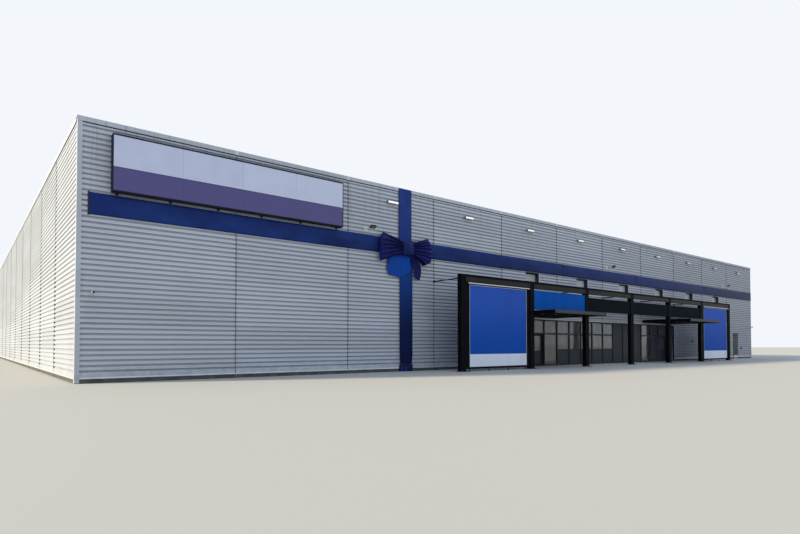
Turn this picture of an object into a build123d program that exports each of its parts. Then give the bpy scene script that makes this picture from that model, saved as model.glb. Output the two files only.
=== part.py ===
"""Large building supply store, modelled at half of its real size (scale 1:2).

Millimetres, +Z up, +X to the right along the shop front, +Y from the front into the
building. The origin is on the ground under the middle of the whole part.
"""
from build123d import *
import os

# Building shell
LENGTH = 30120.0            # over the outer crests of the cladding
DEPTH = 24440.0
HEIGHT = 4615.0             # ground to the top of the parapet cap
LINER_THICK = 110.0               # insulated wall behind the outer sheet
FLOOR_TOP = 20.0
PARAPET_HEIGHT = 465.0      # roof to the top of the parapet cap
ROOF_THICK = 125.0

# Ribbed outer sheet, ribs running level
RIB_PITCH = 92.5
RIB_DEPTH = 20.0
RIB_CREST = 50.0
RIB_WEB_RUN = 14.0
SHEET_THICK = 3.0
PLINTH_HEIGHT = 90.0
PLINTH_THICK = 16.0

# Sheet joints, corners and parapet
BAY_LENGTH = 2700.0
FRONT_FIRST = 2825.0        # left corner to the first sheet joint
SIDE_FIRST = 2715.0         # front corner to the first sheet joint of a side wall
STRIP_WIDTH = 18.0
STRIP_PROUD = 4.0
CORNER_LEG = 75.0
CORNER_PROUD = 3.0
GROUND_GAP = 10.0           # trims stop this far above the ground
CAP_DROP = 85.0
CAP_PROUD = 12.0
CAP_THICK = 4.0
CAP_FALL = 12.0             # the cap slopes towards the roof
CAP_INNER_DROP = 55.0
CAP_JOINT = 2.0
SEAT_GAP = 0.3                  # clearance of a piece that rests on another

# Shop front, from the fourth joint to the eighth
SHOP_BAYS = 4
SHOP_HEAD_Z = 1470.0
PANES_PER_BAY = 4
POST_WIDTH = 40.0
POST_DEPTH = 60.0
RAIL_HEIGHT = 40.0
TRANSOM_Z = 1000.0
MIDRAIL_Z = 480.0
GLASS_THICK = 12.0
GLASS_SETBACK = 25.0
PANEL_THICK = 20.0

# Sliding doors
LEAF_THICK = 25.0
LEAF_SETBACK = 78.0
LEAF_STILE_WIDTH = 35.0
LEAF_GLASS_THICK = 8.0
LEAF_MEETING_GAP = 6.0
LEAF_FLOOR_GAP = 6.0
LEAF_TOP_GAP = 12.0
HANGER = (50.0, 16.0)
HANGER_INSET = 70.0
TRACK_HEIGHT = 70.0
TRACK_DEPTH = 70.0

# Side door
DOOR_FROM_RIGHT = 2002.0    # right corner to the middle of the door
DOOR_WIDTH = 560.0
DOOR_HEAD = 1200.0
DOOR_FRAME_WIDTH = 26.0
DOOR_FRAME_PROUD = 8.0
DOOR_FRAME_DEPTH = 70.0
DOOR_LEAF_THICK = 25.0
DOOR_GAP = 5.0
KNUCKLE_R = 5.0
KNUCKLE_HEIGHT = 30.0
HINGE_OFFSET = 6.0
HINGE_TAB = 18.0
HINGE_TAB_THICK = 4.0
HINGE_HEIGHTS = (180.0, 620.0, 1040.0)
HANDLE_Z = 525.0
HANDLE_INSET = 45.0
HANDLE_R = 7.0
HANDLE_REACH = 32.0
HANDLE_LEVER = 70.0

# High windows in the bays behind the portico
WINDOW_GAP = 10.0           # window head to the foot of the ribbon
WINDOW_HEIGHT = 420.0
WINDOW_WIDTH = 680.0
WINDOW_OFFSET = 1420.0      # sheet joint to the middle of the window
WINDOW_LINING_THICK = 12.0
WINDOW_LINING_PROUD = 3.0
SASH_WIDTH = 30.0
SASH_DEPTH = 25.0

# Portico
PORTICO_BAYS = 6
LEFT_BAYS = 3
PORTICO_REACH = 1100.0      # cladding crests to the front of the frame
COLUMN = (180.0, 125.0)
BASE_PLATE = (260.0, 12.0)
PORTICO_TOP = 2430.0
BEAM_HEIGHT = 180.0
TIE_R = 16.0
TIE_SIDES = 8
TIE_PLATE = 60.0
TIE_PLATE_THICK = 8.0
FASCIA_DROP = 115.0         # underside of the beam to the top of the panel
FASCIA_HEIGHT = 430.0
FASCIA_THICK = 20.0
FASCIA_INSET = 20.0
ENTRANCE_SIGN_DROP = 50.0
ENTRANCE_SIGN_HEIGHT = 530.0
ENTRANCE_SIGN_THICK = 45.0
BILLBOARD_FOOT = 60.0
BILLBOARD_SIDE = 140.0
BILLBOARD_TOP_BAR = 70.0
BILLBOARD_FOOT_BAR = 50.0
BILLBOARD_THICK = 50.0
BILLBOARD_PANEL_THICK = 12.0
BILLBOARD_SETBACK = 2.0
CANOPY_REACH = 1800.0
CANOPY_CLEAR = 55.0         # head of the shop front to the canopy
CANOPY_THICK = 100.0
CANOPY_RIM_WIDTH = 60.0
CANOPY_POCKET_DEPTH = 18.0

# Sign box
SIGN_LEFT = 520.0           # from the left corner
SIGN_LENGTH = 4770.0
SIGN_DROP = 230.0           # top of the parapet to the top of the box
SIGN_HEIGHT = 1025.0
SIGN_SPLIT = 440.0          # foot of the box to the joint of its two faces
SIGN_DEPTH = 150.0
SIGN_RIM_WIDTH = 12.0
SIGN_POCKET_DEPTH = 14.0

# Gift ribbon
RIBBON_LEFT = 165.0
RIBBON_DROP = 40.0          # foot of the sign box to the top of the ribbon
RIBBON_WIDTH = 390.0
RIBBON_THICK = 6.0
BAND_LEFT = 7025.0
BAND_WIDTH = 415.0
BAND_THICK = 6.0
BAND_RETURN = 60.0
KNOT = (300.0, 360.0, 170.0)
KNOT_DROP = 30.0            # middle of the ribbon to the middle of the knot
LOOP_LENGTH = (660.0, 560.0)
LOOP_BULGE = 168.0
LOOP_BOW = 30.0             # the outer edge of a loop curves outwards
LOOP_CORNER = 45.0
LOOP_ROOT_R = 30.0
LOOP_CLOTH_THICK = 10.0
LOOP_INNER_HALF = 110.0
LOOP_OUTER_HALF = 370.0
TAIL_THICK = 12.0
# Outlines of the two loose ends, from the middle of the foot of the knot
TAIL_SHAPES = (
    ((30, 0), (-130, 0), (-330, -150), (-590, -390), (-620, -470), (-540, -530), (-230, -600), (0, -560)),
    ((40, 0), (60, -200), (90, -640), (210, -680), (330, -600), (370, -520), (350, -160), (100, 0)),
)

# Small fittings
SPOUT_OFFSET = 1230.0         # sheet joint to the middle of the spout
SPOUT_RISE = 20.0           # roof to the foot of the spout
SPOUT = (200.0, 60.0, 150.0)
SPOUT_WALL_THICK = 5.0
LAMPS_FROM_LEFT = (6030.0, 16575.0)
LAMP_FROM_RIGHT = 3500.0
LAMP_RISE = 130.0           # top of the ribbon to the lamp arm
LAMP_PLATE_THICK = 8.0
LAMP_HEAD = (150.0, 45.0, 110.0)
LAMP_ARM = 300.0
LAMP_ARM_R = 9.0
LAMP_TILT = 25.0
CAMERA_FROM_LEFT = 255.0
CAMERA_FROM_RIGHT = 140.0
CAMERA_Z = 1570.0
CAMERA_R = 28.0
CAMERA_LENGTH = 110.0
SHOP_BOX = (1645.0, 835.0)  # from the right end of the shop front, and height
DOOR_BOX = (667.0, 500.0)   # from the middle of the side door, and height
BOX = (70.0, 95.0, 35.0)

# Places worked out from the sizes above
SKIN = RIB_DEPTH + SHEET_THICK
WALL = SKIN + LINER_THICK
LEFT, RIGHT = -LENGTH / 2, LENGTH / 2
FRONT = (CANOPY_REACH - DEPTH - CAP_PROUD) / 2
BACK = FRONT + DEPTH
WALL_TOP = HEIGHT - CAP_FALL - CAP_THICK
ROOF_TOP = HEIGHT - PARAPET_HEIGHT
FACE = FRONT - STRIP_PROUD - SEAT_GAP       # plane that signs and ribbons lie on


def along(distance):
    """X of a place given from the left corner of the front."""
    return LEFT + distance


def joints(first, total):
    """Distances of the sheet joints along a wall of this length."""
    count = int((total - first - BAY_LENGTH / 2) // BAY_LENGTH) + 1
    return [first + i * BAY_LENGTH for i in range(count)]


FRONT_JOINTS = [along(d) for d in joints(FRONT_FIRST, LENGTH)]
SIDE_JOINTS = [FRONT + d for d in joints(SIDE_FIRST, DEPTH)]
COLUMN_X = [FRONT_JOINTS[LEFT_BAYS - 1 + i] for i in range(PORTICO_BAYS + 1)]
SHOP_LEFT = COLUMN_X[1]
SHOP_RIGHT = COLUMN_X[1 + SHOP_BAYS]
PANE = BAY_LENGTH / PANES_PER_BAY
DOOR_LEFT = RIGHT - DOOR_FROM_RIGHT - DOOR_WIDTH / 2
DOOR_RIGHT = DOOR_LEFT + DOOR_WIDTH
SIGN_TOP = HEIGHT - SIGN_DROP
SIGN_FOOT = SIGN_TOP - SIGN_HEIGHT
RIBBON_TOP = SIGN_FOOT - RIBBON_DROP
RIBBON_FOOT = RIBBON_TOP - RIBBON_WIDTH
WINDOW_HEAD = RIBBON_FOOT - WINDOW_GAP
WINDOW_SILL = WINDOW_HEAD - WINDOW_HEIGHT
WINDOW_X = [x + WINDOW_OFFSET for x in COLUMN_X[1:]]
FRAME_FRONT = FRONT - PORTICO_REACH
BEAM_UNDER = PORTICO_TOP - BEAM_HEIGHT
CANOPY_TOP = SHOP_HEAD_Z + CANOPY_CLEAR + CANOPY_THICK
BAND_X = along(BAND_LEFT)
KNOT_X = BAND_X + BAND_WIDTH / 2
KNOT_Z = (RIBBON_TOP + RIBBON_FOOT) / 2 - KNOT_DROP
SPOUT_Z = ROOF_TOP + SPOUT_RISE
LAMP_X = [along(d) for d in LAMPS_FROM_LEFT] + [RIGHT - LAMP_FROM_RIGHT]
LAMP_Z = RIBBON_TOP + LAMP_RISE
CAMERA_X = (along(CAMERA_FROM_LEFT), RIGHT - CAMERA_FROM_RIGHT)


def block(x0, x1, y0, y1, z0, z1, mode=Mode.ADD):
    """A plain block between two corners, added to or cut from the current part."""
    with Locations(((x0 + x1) / 2, (y0 + y1) / 2, (z0 + z1) / 2)):
        Box(x1 - x0, y1 - y0, z1 - z0, mode=mode)


def save(builder, name):
    """Label a finished piece and write its file."""
    builder.part.label = name
    export_step(builder.part, f"parts/{name}.step")


def rib_profile(plane, low, high):
    """Section of the outer sheet: flat back at 0, crests at SKIN, ribs stacked upwards."""
    count = int((high - low) // RIB_PITCH)
    start = high - count * RIB_PITCH
    valley = (RIB_PITCH - RIB_CREST) / 2 - RIB_WEB_RUN
    points = [(0, low), (SKIN, low)]
    for i in range(count):
        z = start + i * RIB_PITCH
        points += [
            (SKIN, z + RIB_CREST / 2),
            (SHEET_THICK, z + RIB_CREST / 2 + RIB_WEB_RUN),
            (SHEET_THICK, z + RIB_CREST / 2 + RIB_WEB_RUN + 2 * valley),
            (SKIN, z + RIB_PITCH - RIB_CREST / 2),
        ]
    points += [(SKIN, high), (0, high)]
    with BuildSketch(plane) as profile:
        with BuildLine():
            Polyline(*points, close=True)
        make_face()
    return profile


os.makedirs("parts", exist_ok=True)

# Floor and roof
with BuildPart() as floor_slab:
    block(LEFT + WALL, RIGHT - WALL, FRONT + WALL, BACK - WALL, 0, FLOOR_TOP)
save(floor_slab, "floor_slab")

with BuildPart() as roof_deck:
    block(LEFT + WALL, RIGHT - WALL, FRONT + WALL, BACK - WALL, ROOF_TOP - ROOF_THICK, ROOF_TOP)
save(roof_deck, "roof_deck")

# Insulated walls. The front is split beside and over its openings.
y_in, y_out = FRONT + SKIN, FRONT + WALL
front_pieces = {
    "front_wall_left": (LEFT + SKIN, SHOP_LEFT, 0, WINDOW_SILL),
    "front_wall_over_shopfront": (SHOP_LEFT, SHOP_RIGHT, SHOP_HEAD_Z, WINDOW_SILL),
    "front_wall_middle": (SHOP_RIGHT, DOOR_LEFT, 0, WINDOW_SILL),
    "front_wall_over_door": (DOOR_LEFT, DOOR_RIGHT, DOOR_HEAD, WINDOW_SILL),
    "front_wall_right": (DOOR_RIGHT, RIGHT - SKIN, 0, WINDOW_SILL),
    "front_wall_upper": (LEFT + SKIN, RIGHT - SKIN, WINDOW_HEAD, WALL_TOP),
}
for name, (x0, x1, z0, z1) in front_pieces.items():
    with BuildPart() as front_piece:
        block(x0, x1, y_in, y_out, z0, z1)
    save(front_piece, name)

with BuildPart() as front_window_piers:
    edges = [LEFT + SKIN]
    for x in WINDOW_X:
        edges += [x - WINDOW_WIDTH / 2, x + WINDOW_WIDTH / 2]
    edges.append(RIGHT - SKIN)
    for x0, x1 in zip(edges[::2], edges[1::2]):
        block(x0, x1, y_in, y_out, WINDOW_SILL, WINDOW_HEAD)
save(front_window_piers, "front_window_piers")

with BuildPart() as back_wall:
    block(LEFT + SKIN, RIGHT - SKIN, BACK - WALL, BACK - SKIN, 0, WALL_TOP)
save(back_wall, "back_wall")

for name, x0 in (("left_wall", LEFT + SKIN), ("right_wall", RIGHT - WALL)):
    with BuildPart() as side_wall:
        block(x0, x0 + LINER_THICK, FRONT + WALL, BACK - WALL, 0, WALL_TOP)
    save(side_wall, name)

# Ribbed outer sheets
front_plane = Plane(origin=(RIGHT, FRONT + SKIN, 0), x_dir=(0, -1, 0), z_dir=(-1, 0, 0))
with BuildPart() as front_cladding:
    extrude(rib_profile(front_plane, PLINTH_HEIGHT, WALL_TOP).sketch, amount=LENGTH)
    block(SHOP_LEFT, SHOP_RIGHT, FRONT, FRONT + SKIN, 0, SHOP_HEAD_Z, Mode.SUBTRACT)
    block(DOOR_LEFT, DOOR_RIGHT, FRONT, FRONT + SKIN, 0, DOOR_HEAD, Mode.SUBTRACT)
    for x in WINDOW_X:
        x0, x1 = x - WINDOW_WIDTH / 2, x + WINDOW_WIDTH / 2
        block(x0, x1, FRONT, FRONT + SKIN, WINDOW_SILL, WINDOW_HEAD, Mode.SUBTRACT)
save(front_cladding, "front_cladding")

back_plane = Plane(origin=(LEFT, BACK - SKIN, 0), x_dir=(0, 1, 0), z_dir=(1, 0, 0))
with BuildPart() as back_cladding:
    extrude(rib_profile(back_plane, PLINTH_HEIGHT, WALL_TOP).sketch, amount=LENGTH)
save(back_cladding, "back_cladding")

with BuildPart() as side_cladding:
    left_plane = Plane(origin=(LEFT + SKIN, FRONT + SKIN, 0), x_dir=(-1, 0, 0), z_dir=(0, 1, 0))
    right_plane = Plane(origin=(RIGHT - SKIN, BACK - SKIN, 0), x_dir=(1, 0, 0), z_dir=(0, -1, 0))
    for side_plane in (left_plane, right_plane):
        profile = rib_profile(side_plane, PLINTH_HEIGHT, WALL_TOP)
        extrude(profile.sketch, amount=DEPTH - 2 * SKIN)
save(side_cladding, "side_cladding")

# Dark plinth under the sheets, between the corner trims
with BuildPart() as plinth:
    inner = CORNER_LEG
    y0 = FRONT + SKIN - PLINTH_THICK
    front_runs = ((LEFT + inner, SHOP_LEFT), (SHOP_RIGHT, DOOR_LEFT), (DOOR_RIGHT, RIGHT - inner))
    for x0, x1 in front_runs:
        block(x0, x1, y0, FRONT + SKIN, 0, PLINTH_HEIGHT)
    block(LEFT + inner, RIGHT - inner, BACK - SKIN, BACK - SKIN + PLINTH_THICK, 0, PLINTH_HEIGHT)
    for x0 in (LEFT + SKIN - PLINTH_THICK, RIGHT - SKIN):
        block(x0, x0 + PLINTH_THICK, FRONT + inner, BACK - inner, 0, PLINTH_HEIGHT)
save(plinth, "plinth")

# Corner flashings, an angle over each corner
with BuildPart() as corner_trims:
    for sx, x in ((1, LEFT), (-1, RIGHT)):
        for sy, y in ((1, FRONT), (-1, BACK)):
            with BuildSketch(Plane.XY.offset(GROUND_GAP)):
                with BuildLine():
                    Polyline(
                        (x - sx * CORNER_PROUD, y - sy * CORNER_PROUD),
                        (x + sx * CORNER_LEG, y - sy * CORNER_PROUD),
                        (x + sx * CORNER_LEG, y),
                        (x, y),
                        (x, y + sy * CORNER_LEG),
                        (x - sx * CORNER_PROUD, y + sy * CORNER_LEG),
                        close=True,
                    )
                make_face()
            extrude(amount=WALL_TOP - GROUND_GAP)
save(corner_trims, "corner_trims")

# Cover strips over the sheet joints
with BuildPart() as joint_strips:
    half = STRIP_WIDTH / 2
    for x in FRONT_JOINTS:
        bottom = SHOP_HEAD_Z + STRIP_WIDTH if SHOP_LEFT <= x <= SHOP_RIGHT else GROUND_GAP
        block(x - half, x + half, FRONT - STRIP_PROUD, FRONT, bottom, WALL_TOP)
        block(x - half, x + half, BACK, BACK + STRIP_PROUD, GROUND_GAP, WALL_TOP)
    for y in SIDE_JOINTS:
        block(LEFT - STRIP_PROUD, LEFT, y - half, y + half, GROUND_GAP, WALL_TOP)
        block(RIGHT, RIGHT + STRIP_PROUD, y - half, y + half, GROUND_GAP, WALL_TOP)
save(joint_strips, "joint_strips")


def cap_profile(plane):
    """Folded parapet cap, 0 at the crests and positive towards the roof."""
    inner = WALL + CAP_PROUD
    with BuildSketch(plane) as profile:
        with BuildLine():
            Polyline(
                (-CAP_PROUD, HEIGHT - CAP_DROP),
                (-CAP_PROUD, HEIGHT),
                (inner, HEIGHT - CAP_FALL),
                (inner, WALL_TOP - CAP_INNER_DROP),
                (inner - CAP_THICK, WALL_TOP - CAP_INNER_DROP),
                (inner - CAP_THICK, WALL_TOP),
                (-CAP_PROUD + CAP_THICK, WALL_TOP),
                (-CAP_PROUD + CAP_THICK, HEIGHT - CAP_DROP),
                close=True,
            )
        make_face()
    return profile


with BuildPart() as parapet_caps:
    cap_plane = Plane(origin=(LEFT - CAP_PROUD, FRONT, 0), x_dir=(0, 1, 0), z_dir=(1, 0, 0))
    extrude(cap_profile(cap_plane).sketch, amount=LENGTH + 2 * CAP_PROUD)
    cap_plane = Plane(origin=(RIGHT + CAP_PROUD, BACK, 0), x_dir=(0, -1, 0), z_dir=(-1, 0, 0))
    extrude(cap_profile(cap_plane).sketch, amount=LENGTH + 2 * CAP_PROUD)
    corner = WALL + CAP_PROUD
    for x0, x1 in ((LEFT, LEFT + corner), (RIGHT - corner, RIGHT)):
        for y in (FRONT + WALL, BACK - WALL - CAP_PROUD):
            block(x0, x1, y, y + CAP_PROUD, WALL_TOP - CAP_INNER_DROP, WALL_TOP, Mode.SUBTRACT)
    run = WALL + CAP_PROUD + CAP_JOINT
    cap_plane = Plane(origin=(LEFT, BACK - run, 0), x_dir=(1, 0, 0), z_dir=(0, -1, 0))
    extrude(cap_profile(cap_plane).sketch, amount=DEPTH - 2 * run)
    cap_plane = Plane(origin=(RIGHT, FRONT + run, 0), x_dir=(-1, 0, 0), z_dir=(0, 1, 0))
    extrude(cap_profile(cap_plane).sketch, amount=DEPTH - 2 * run)
save(parapet_caps, "parapet_caps")

# High windows: a deep metal lining with a sash at its inner end, and the glass
with BuildPart() as high_window_frames:
    for x in WINDOW_X:
        x0, x1 = x - WINDOW_WIDTH / 2, x + WINDOW_WIDTH / 2
        block(x0, x1, FRONT - WINDOW_LINING_PROUD, y_out, WINDOW_SILL, WINDOW_HEAD)
        t = WINDOW_LINING_THICK
        y0, y1 = FRONT - WINDOW_LINING_PROUD, y_out - SASH_DEPTH
        block(x0 + t, x1 - t, y0, y1, WINDOW_SILL + t, WINDOW_HEAD - t, Mode.SUBTRACT)
        t = WINDOW_LINING_THICK + SASH_WIDTH
        block(x0 + t, x1 - t, y1, y_out, WINDOW_SILL + t, WINDOW_HEAD - t, Mode.SUBTRACT)
save(high_window_frames, "high_window_frames")

with BuildPart() as high_window_glass:
    t = WINDOW_LINING_THICK + SASH_WIDTH
    y0 = y_out - (SASH_DEPTH + GLASS_THICK) / 2
    for x in WINDOW_X:
        x0, x1 = x - WINDOW_WIDTH / 2 + t, x + WINDOW_WIDTH / 2 - t
        block(x0, x1, y0, y0 + GLASS_THICK, WINDOW_SILL + t, WINDOW_HEAD - t)
save(high_window_glass, "high_window_glass")

# Overflow spouts, one a bay from the third bay on
with BuildPart() as overflow_spouts:
    width, height, reach = SPOUT
    for x in FRONT_JOINTS[1:]:
        mid = x + SPOUT_OFFSET
        x0, x1 = mid - width / 2, mid + width / 2
        block(x0, x1, FRONT - reach, FRONT, SPOUT_Z, SPOUT_Z + height)
        w = SPOUT_WALL_THICK
        block(x0 + w, x1 - w, FRONT - reach, FRONT, SPOUT_Z + w, SPOUT_Z + height, Mode.SUBTRACT)
save(overflow_spouts, "overflow_spouts")

# Floodlights: wall plate, arm and a tilted head
with BuildPart() as floodlights:
    width, thick, tall = LAMP_HEAD
    for x in LAMP_X:
        y0, z0, z1 = FRONT - LAMP_PLATE_THICK, LAMP_Z - tall / 2, LAMP_Z + tall / 2
        block(x - tall / 2, x + tall / 2, y0, FRONT, z0, z1)
        with Locations(Location((x, FRONT - LAMP_ARM / 2, LAMP_Z), (90, 0, 0))):
            Cylinder(LAMP_ARM_R, LAMP_ARM)
        with Locations(Location((x, FRONT - LAMP_ARM, LAMP_Z), (-LAMP_TILT, 0, 0))):
            Box(width, tall, thick)
save(floodlights, "floodlights")

# Two cameras and two small boxes on the wall
with BuildPart() as wall_fittings:
    for x in CAMERA_X:
        block(x - CAMERA_R, x + CAMERA_R, FRONT - 2 * CAMERA_R, FRONT, CAMERA_Z, CAMERA_Z + CAMERA_R)
        with Locations(Location((x, FRONT - CAMERA_LENGTH / 2 - CAMERA_R, CAMERA_Z), (90, 0, 0))):
            Cylinder(CAMERA_R, CAMERA_LENGTH)
    width, tall, thick = BOX
    door_x = (DOOR_LEFT + DOOR_RIGHT) / 2
    for x, z in ((SHOP_RIGHT + SHOP_BOX[0], SHOP_BOX[1]), (door_x + DOOR_BOX[0], DOOR_BOX[1])):
        block(x - width / 2, x + width / 2, FRONT - thick, FRONT, z - tall / 2, z + tall / 2)
save(wall_fittings, "wall_fittings")

# Sign box: a shallow tray with two faces set in its front
with BuildPart() as sign_box:
    x0 = along(SIGN_LEFT)
    x1 = x0 + SIGN_LENGTH
    z0, z1 = SIGN_FOOT, SIGN_TOP
    sign_front = FACE - SIGN_DEPTH
    block(x0, x1, sign_front, FACE, z0, z1)
    r = SIGN_RIM_WIDTH
    block(x0 + r, x1 - r, sign_front, sign_front + SIGN_POCKET_DEPTH, z0 + r, z1 - r, Mode.SUBTRACT)
save(sign_box, "sign_box")

with BuildPart() as sign_faces:
    y0, y1 = sign_front + SEAT_GAP, sign_front + SIGN_POCKET_DEPTH
    split = SIGN_FOOT + SIGN_SPLIT
    block(x0 + r, x1 - r, y0, y1, z0 + r, split - SEAT_GAP)
    block(x0 + r, x1 - r, y0, y1, split + SEAT_GAP, z1 - r)
save(sign_faces, "sign_faces")

# Gift ribbon: a level band, an upright band hung over the parapet, and the bow
with BuildPart() as ribbon_level:
    block(along(RIBBON_LEFT), RIGHT, FACE - RIBBON_THICK, FACE, RIBBON_FOOT, RIBBON_TOP)
save(ribbon_level, "ribbon_level")

band_back = FRONT - CAP_PROUD - SEAT_GAP
band_front = band_back - BAND_THICK
with BuildPart() as ribbon_upright:
    with BuildSketch(Plane.YZ.offset(BAND_X)):
        with BuildLine():
            Polyline(
                (band_front, GROUND_GAP),
                (band_back, GROUND_GAP),
                (band_back, HEIGHT + SEAT_GAP),
                (band_back + BAND_RETURN, HEIGHT + SEAT_GAP),
                (band_back + BAND_RETURN, HEIGHT + SEAT_GAP + BAND_THICK),
                (band_front, HEIGHT + SEAT_GAP + BAND_THICK),
                close=True,
            )
        make_face()
    extrude(amount=BAND_WIDTH)
save(ribbon_upright, "ribbon_upright")

bow_back = band_front - SEAT_GAP
with BuildPart() as bow_knot:
    width, tall, thick = KNOT
    with BuildSketch(Plane.XY.offset(KNOT_Z - tall / 2)):
        with Locations((KNOT_X, bow_back - thick / 2)):
            RectangleRounded(width, thick, thick / 2.5)
    extrude(amount=tall)
save(bow_knot, "bow_knot")

with BuildPart() as bow_loops:
    middle = bow_back - KNOT[2] / 2
    roots = [KNOT_X + side * (KNOT[0] / 2 + SEAT_GAP) for side in (-1, 1)]
    tips = [root + side * length for root, side, length in zip(roots, (-1, 1), LOOP_LENGTH)]
    for side, root, tip in zip((-1, 1), roots, tips):
        with BuildSketch(Plane.XY.offset(KNOT_Z - LOOP_OUTER_HALF)):
            with Locations((root + side * LOOP_ROOT_R, middle)):
                Circle(LOOP_ROOT_R)
            with Locations((tip + side * (LOOP_BOW - LOOP_BULGE / 2), middle)):
                Circle(LOOP_BULGE / 2)
            make_hull()
            offset(amount=-LOOP_CLOTH_THICK, mode=Mode.SUBTRACT)
        extrude(amount=2 * LOOP_OUTER_HALF)
    low, high = KNOT_Z - LOOP_OUTER_HALF, KNOT_Z + LOOP_OUTER_HALF
    with BuildSketch(Plane.XZ.offset(-bow_back)) as loop_outlines:
        for side, root, tip in zip((-1, 1), roots, tips):
            with BuildLine():
                Polyline(
                    (tip, low),
                    (root - side, KNOT_Z - LOOP_INNER_HALF),
                    (root - side, KNOT_Z + LOOP_INNER_HALF),
                    (tip, high),
                )
                ThreePointArc((tip, high), (tip + side * LOOP_BOW, KNOT_Z), (tip, low))
            make_face()
        columns = loop_outlines.vertices().group_by(Axis.X)
        chamfer(columns[0] + columns[-1], LOOP_CORNER)
    extrude(amount=2 * LOOP_BULGE, mode=Mode.INTERSECT)
save(bow_loops, "bow_loops")

# Two loose ends hang from under the knot, in front of the bands
with BuildPart() as bow_tails:
    for layer, shape in enumerate(TAIL_SHAPES):
        back = bow_back - layer * (TAIL_THICK + SEAT_GAP)
        with BuildSketch(Plane.XZ.offset(-back)):
            with BuildLine():
                Polyline(*[(KNOT_X + x, KNOT_Z - KNOT[1] / 2 - SEAT_GAP + z) for x, z in shape], close=True)
            make_face()
        extrude(amount=TAIL_THICK)
save(bow_tails, "bow_tails")

# Portico frame
half_w, depth = COLUMN[0] / 2, COLUMN[1]
FRAME_BACK = FRAME_FRONT + depth
with BuildPart() as portico_columns:
    plate, plate_t = BASE_PLATE
    mid_y = FRAME_FRONT + depth / 2
    for x in COLUMN_X:
        block(x - half_w, x + half_w, FRAME_FRONT, FRAME_BACK, 0, BEAM_UNDER)
        block(x - plate / 2, x + plate / 2, mid_y - plate / 2, mid_y + plate / 2, 0, plate_t)
save(portico_columns, "portico_columns")

with BuildPart() as portico_beam:
    x0, x1 = COLUMN_X[0] - half_w, COLUMN_X[-1] + half_w
    block(x0, x1, FRAME_FRONT, FRAME_BACK, BEAM_UNDER, PORTICO_TOP)
save(portico_beam, "portico_beam")

with BuildPart() as portico_ties:
    tie_z = PORTICO_TOP - BEAM_HEIGHT / 2
    tie_back = FRONT - STRIP_PROUD
    half = TIE_PLATE / 2
    for x in COLUMN_X:
        with BuildSketch(Plane.XZ.offset(-tie_back)):
            with Locations((x, tie_z)):
                RegularPolygon(TIE_R, TIE_SIDES)
        extrude(amount=tie_back - FRAME_BACK)
        for y in (FRAME_BACK, tie_back - TIE_PLATE_THICK):
            block(x - half, x + half, y, y + TIE_PLATE_THICK, tie_z - half, tie_z + half)
save(portico_ties, "portico_ties")

# Panels between the columns: a billboard in each end bay, the entrance sign, three fascias
bay_gaps = [(a + half_w, b - half_w) for a, b in zip(COLUMN_X, COLUMN_X[1:])]
with BuildPart() as billboard_frames:
    for x0, x1 in (bay_gaps[0], bay_gaps[-1]):
        y0, y1 = FRAME_FRONT + FASCIA_INSET, FRAME_FRONT + FASCIA_INSET + BILLBOARD_THICK
        block(x0, x1, y0, y1, BILLBOARD_FOOT, BEAM_UNDER)
        s, z0, z1 = BILLBOARD_SIDE, BILLBOARD_FOOT + BILLBOARD_FOOT_BAR, BEAM_UNDER - BILLBOARD_TOP_BAR
        block(x0 + s, x1 - s, y0, y1, z0, z1, Mode.SUBTRACT)
save(billboard_frames, "billboard_frames")

with BuildPart() as billboard_panels:
    y = FRAME_FRONT + FASCIA_INSET
    for x0, x1 in (bay_gaps[0], bay_gaps[-1]):
        y0 = y + BILLBOARD_SETBACK
        block(x0 + s, x1 - s, y0, y0 + BILLBOARD_PANEL_THICK, z0, z1)
save(billboard_panels, "billboard_panels")

with BuildPart() as entrance_sign:
    x0, x1 = bay_gaps[1]
    z1 = BEAM_UNDER - ENTRANCE_SIGN_DROP
    block(x0, x1, y, y + ENTRANCE_SIGN_THICK, z1 - ENTRANCE_SIGN_HEIGHT, z1)
save(entrance_sign, "entrance_sign")

with BuildPart() as fascia_panels:
    z1 = BEAM_UNDER - FASCIA_DROP
    for x0, x1 in bay_gaps[2:-1]:
        block(x0, x1, y, y + FASCIA_THICK, z1 - FASCIA_HEIGHT, z1)
save(fascia_panels, "fascia_panels")

# Flat canopies over the entrance and the exit, with a recessed soffit
with BuildPart() as canopies:
    for x0, x1 in (bay_gaps[1], bay_gaps[-2]):
        y0, z0 = FRONT - CANOPY_REACH, CANOPY_TOP - CANOPY_THICK
        block(x0, x1, y0, FRONT, z0, CANOPY_TOP)
        r = CANOPY_RIM_WIDTH
        block(x0 + r, x1 - r, y0 + r, FRONT - r, z0, z0 + CANOPY_POCKET_DEPTH, Mode.SUBTRACT)
save(canopies, "canopies")

# Shop front. Panes are counted from the left: f fixed glass over its full height,
# w window over a solid panel, p closed panel, d sliding door.
PANE_KINDS = "fddf" "wwww" "wppp" "fddf"
post_x = [SHOP_LEFT + i * PANE for i in range(len(PANE_KINDS) + 1)]
y0, y1 = FRONT, FRONT + POST_DEPTH
half_post = POST_WIDTH / 2
post_under = SHOP_HEAD_Z - RAIL_HEIGHT


def pane_edges(i):
    """Clear X span of pane i between its posts."""
    left = post_x[i] + (POST_WIDTH if i == 0 else half_post)
    right = post_x[i + 1] - (POST_WIDTH if i == len(PANE_KINDS) - 1 else half_post)
    return left, right


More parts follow.
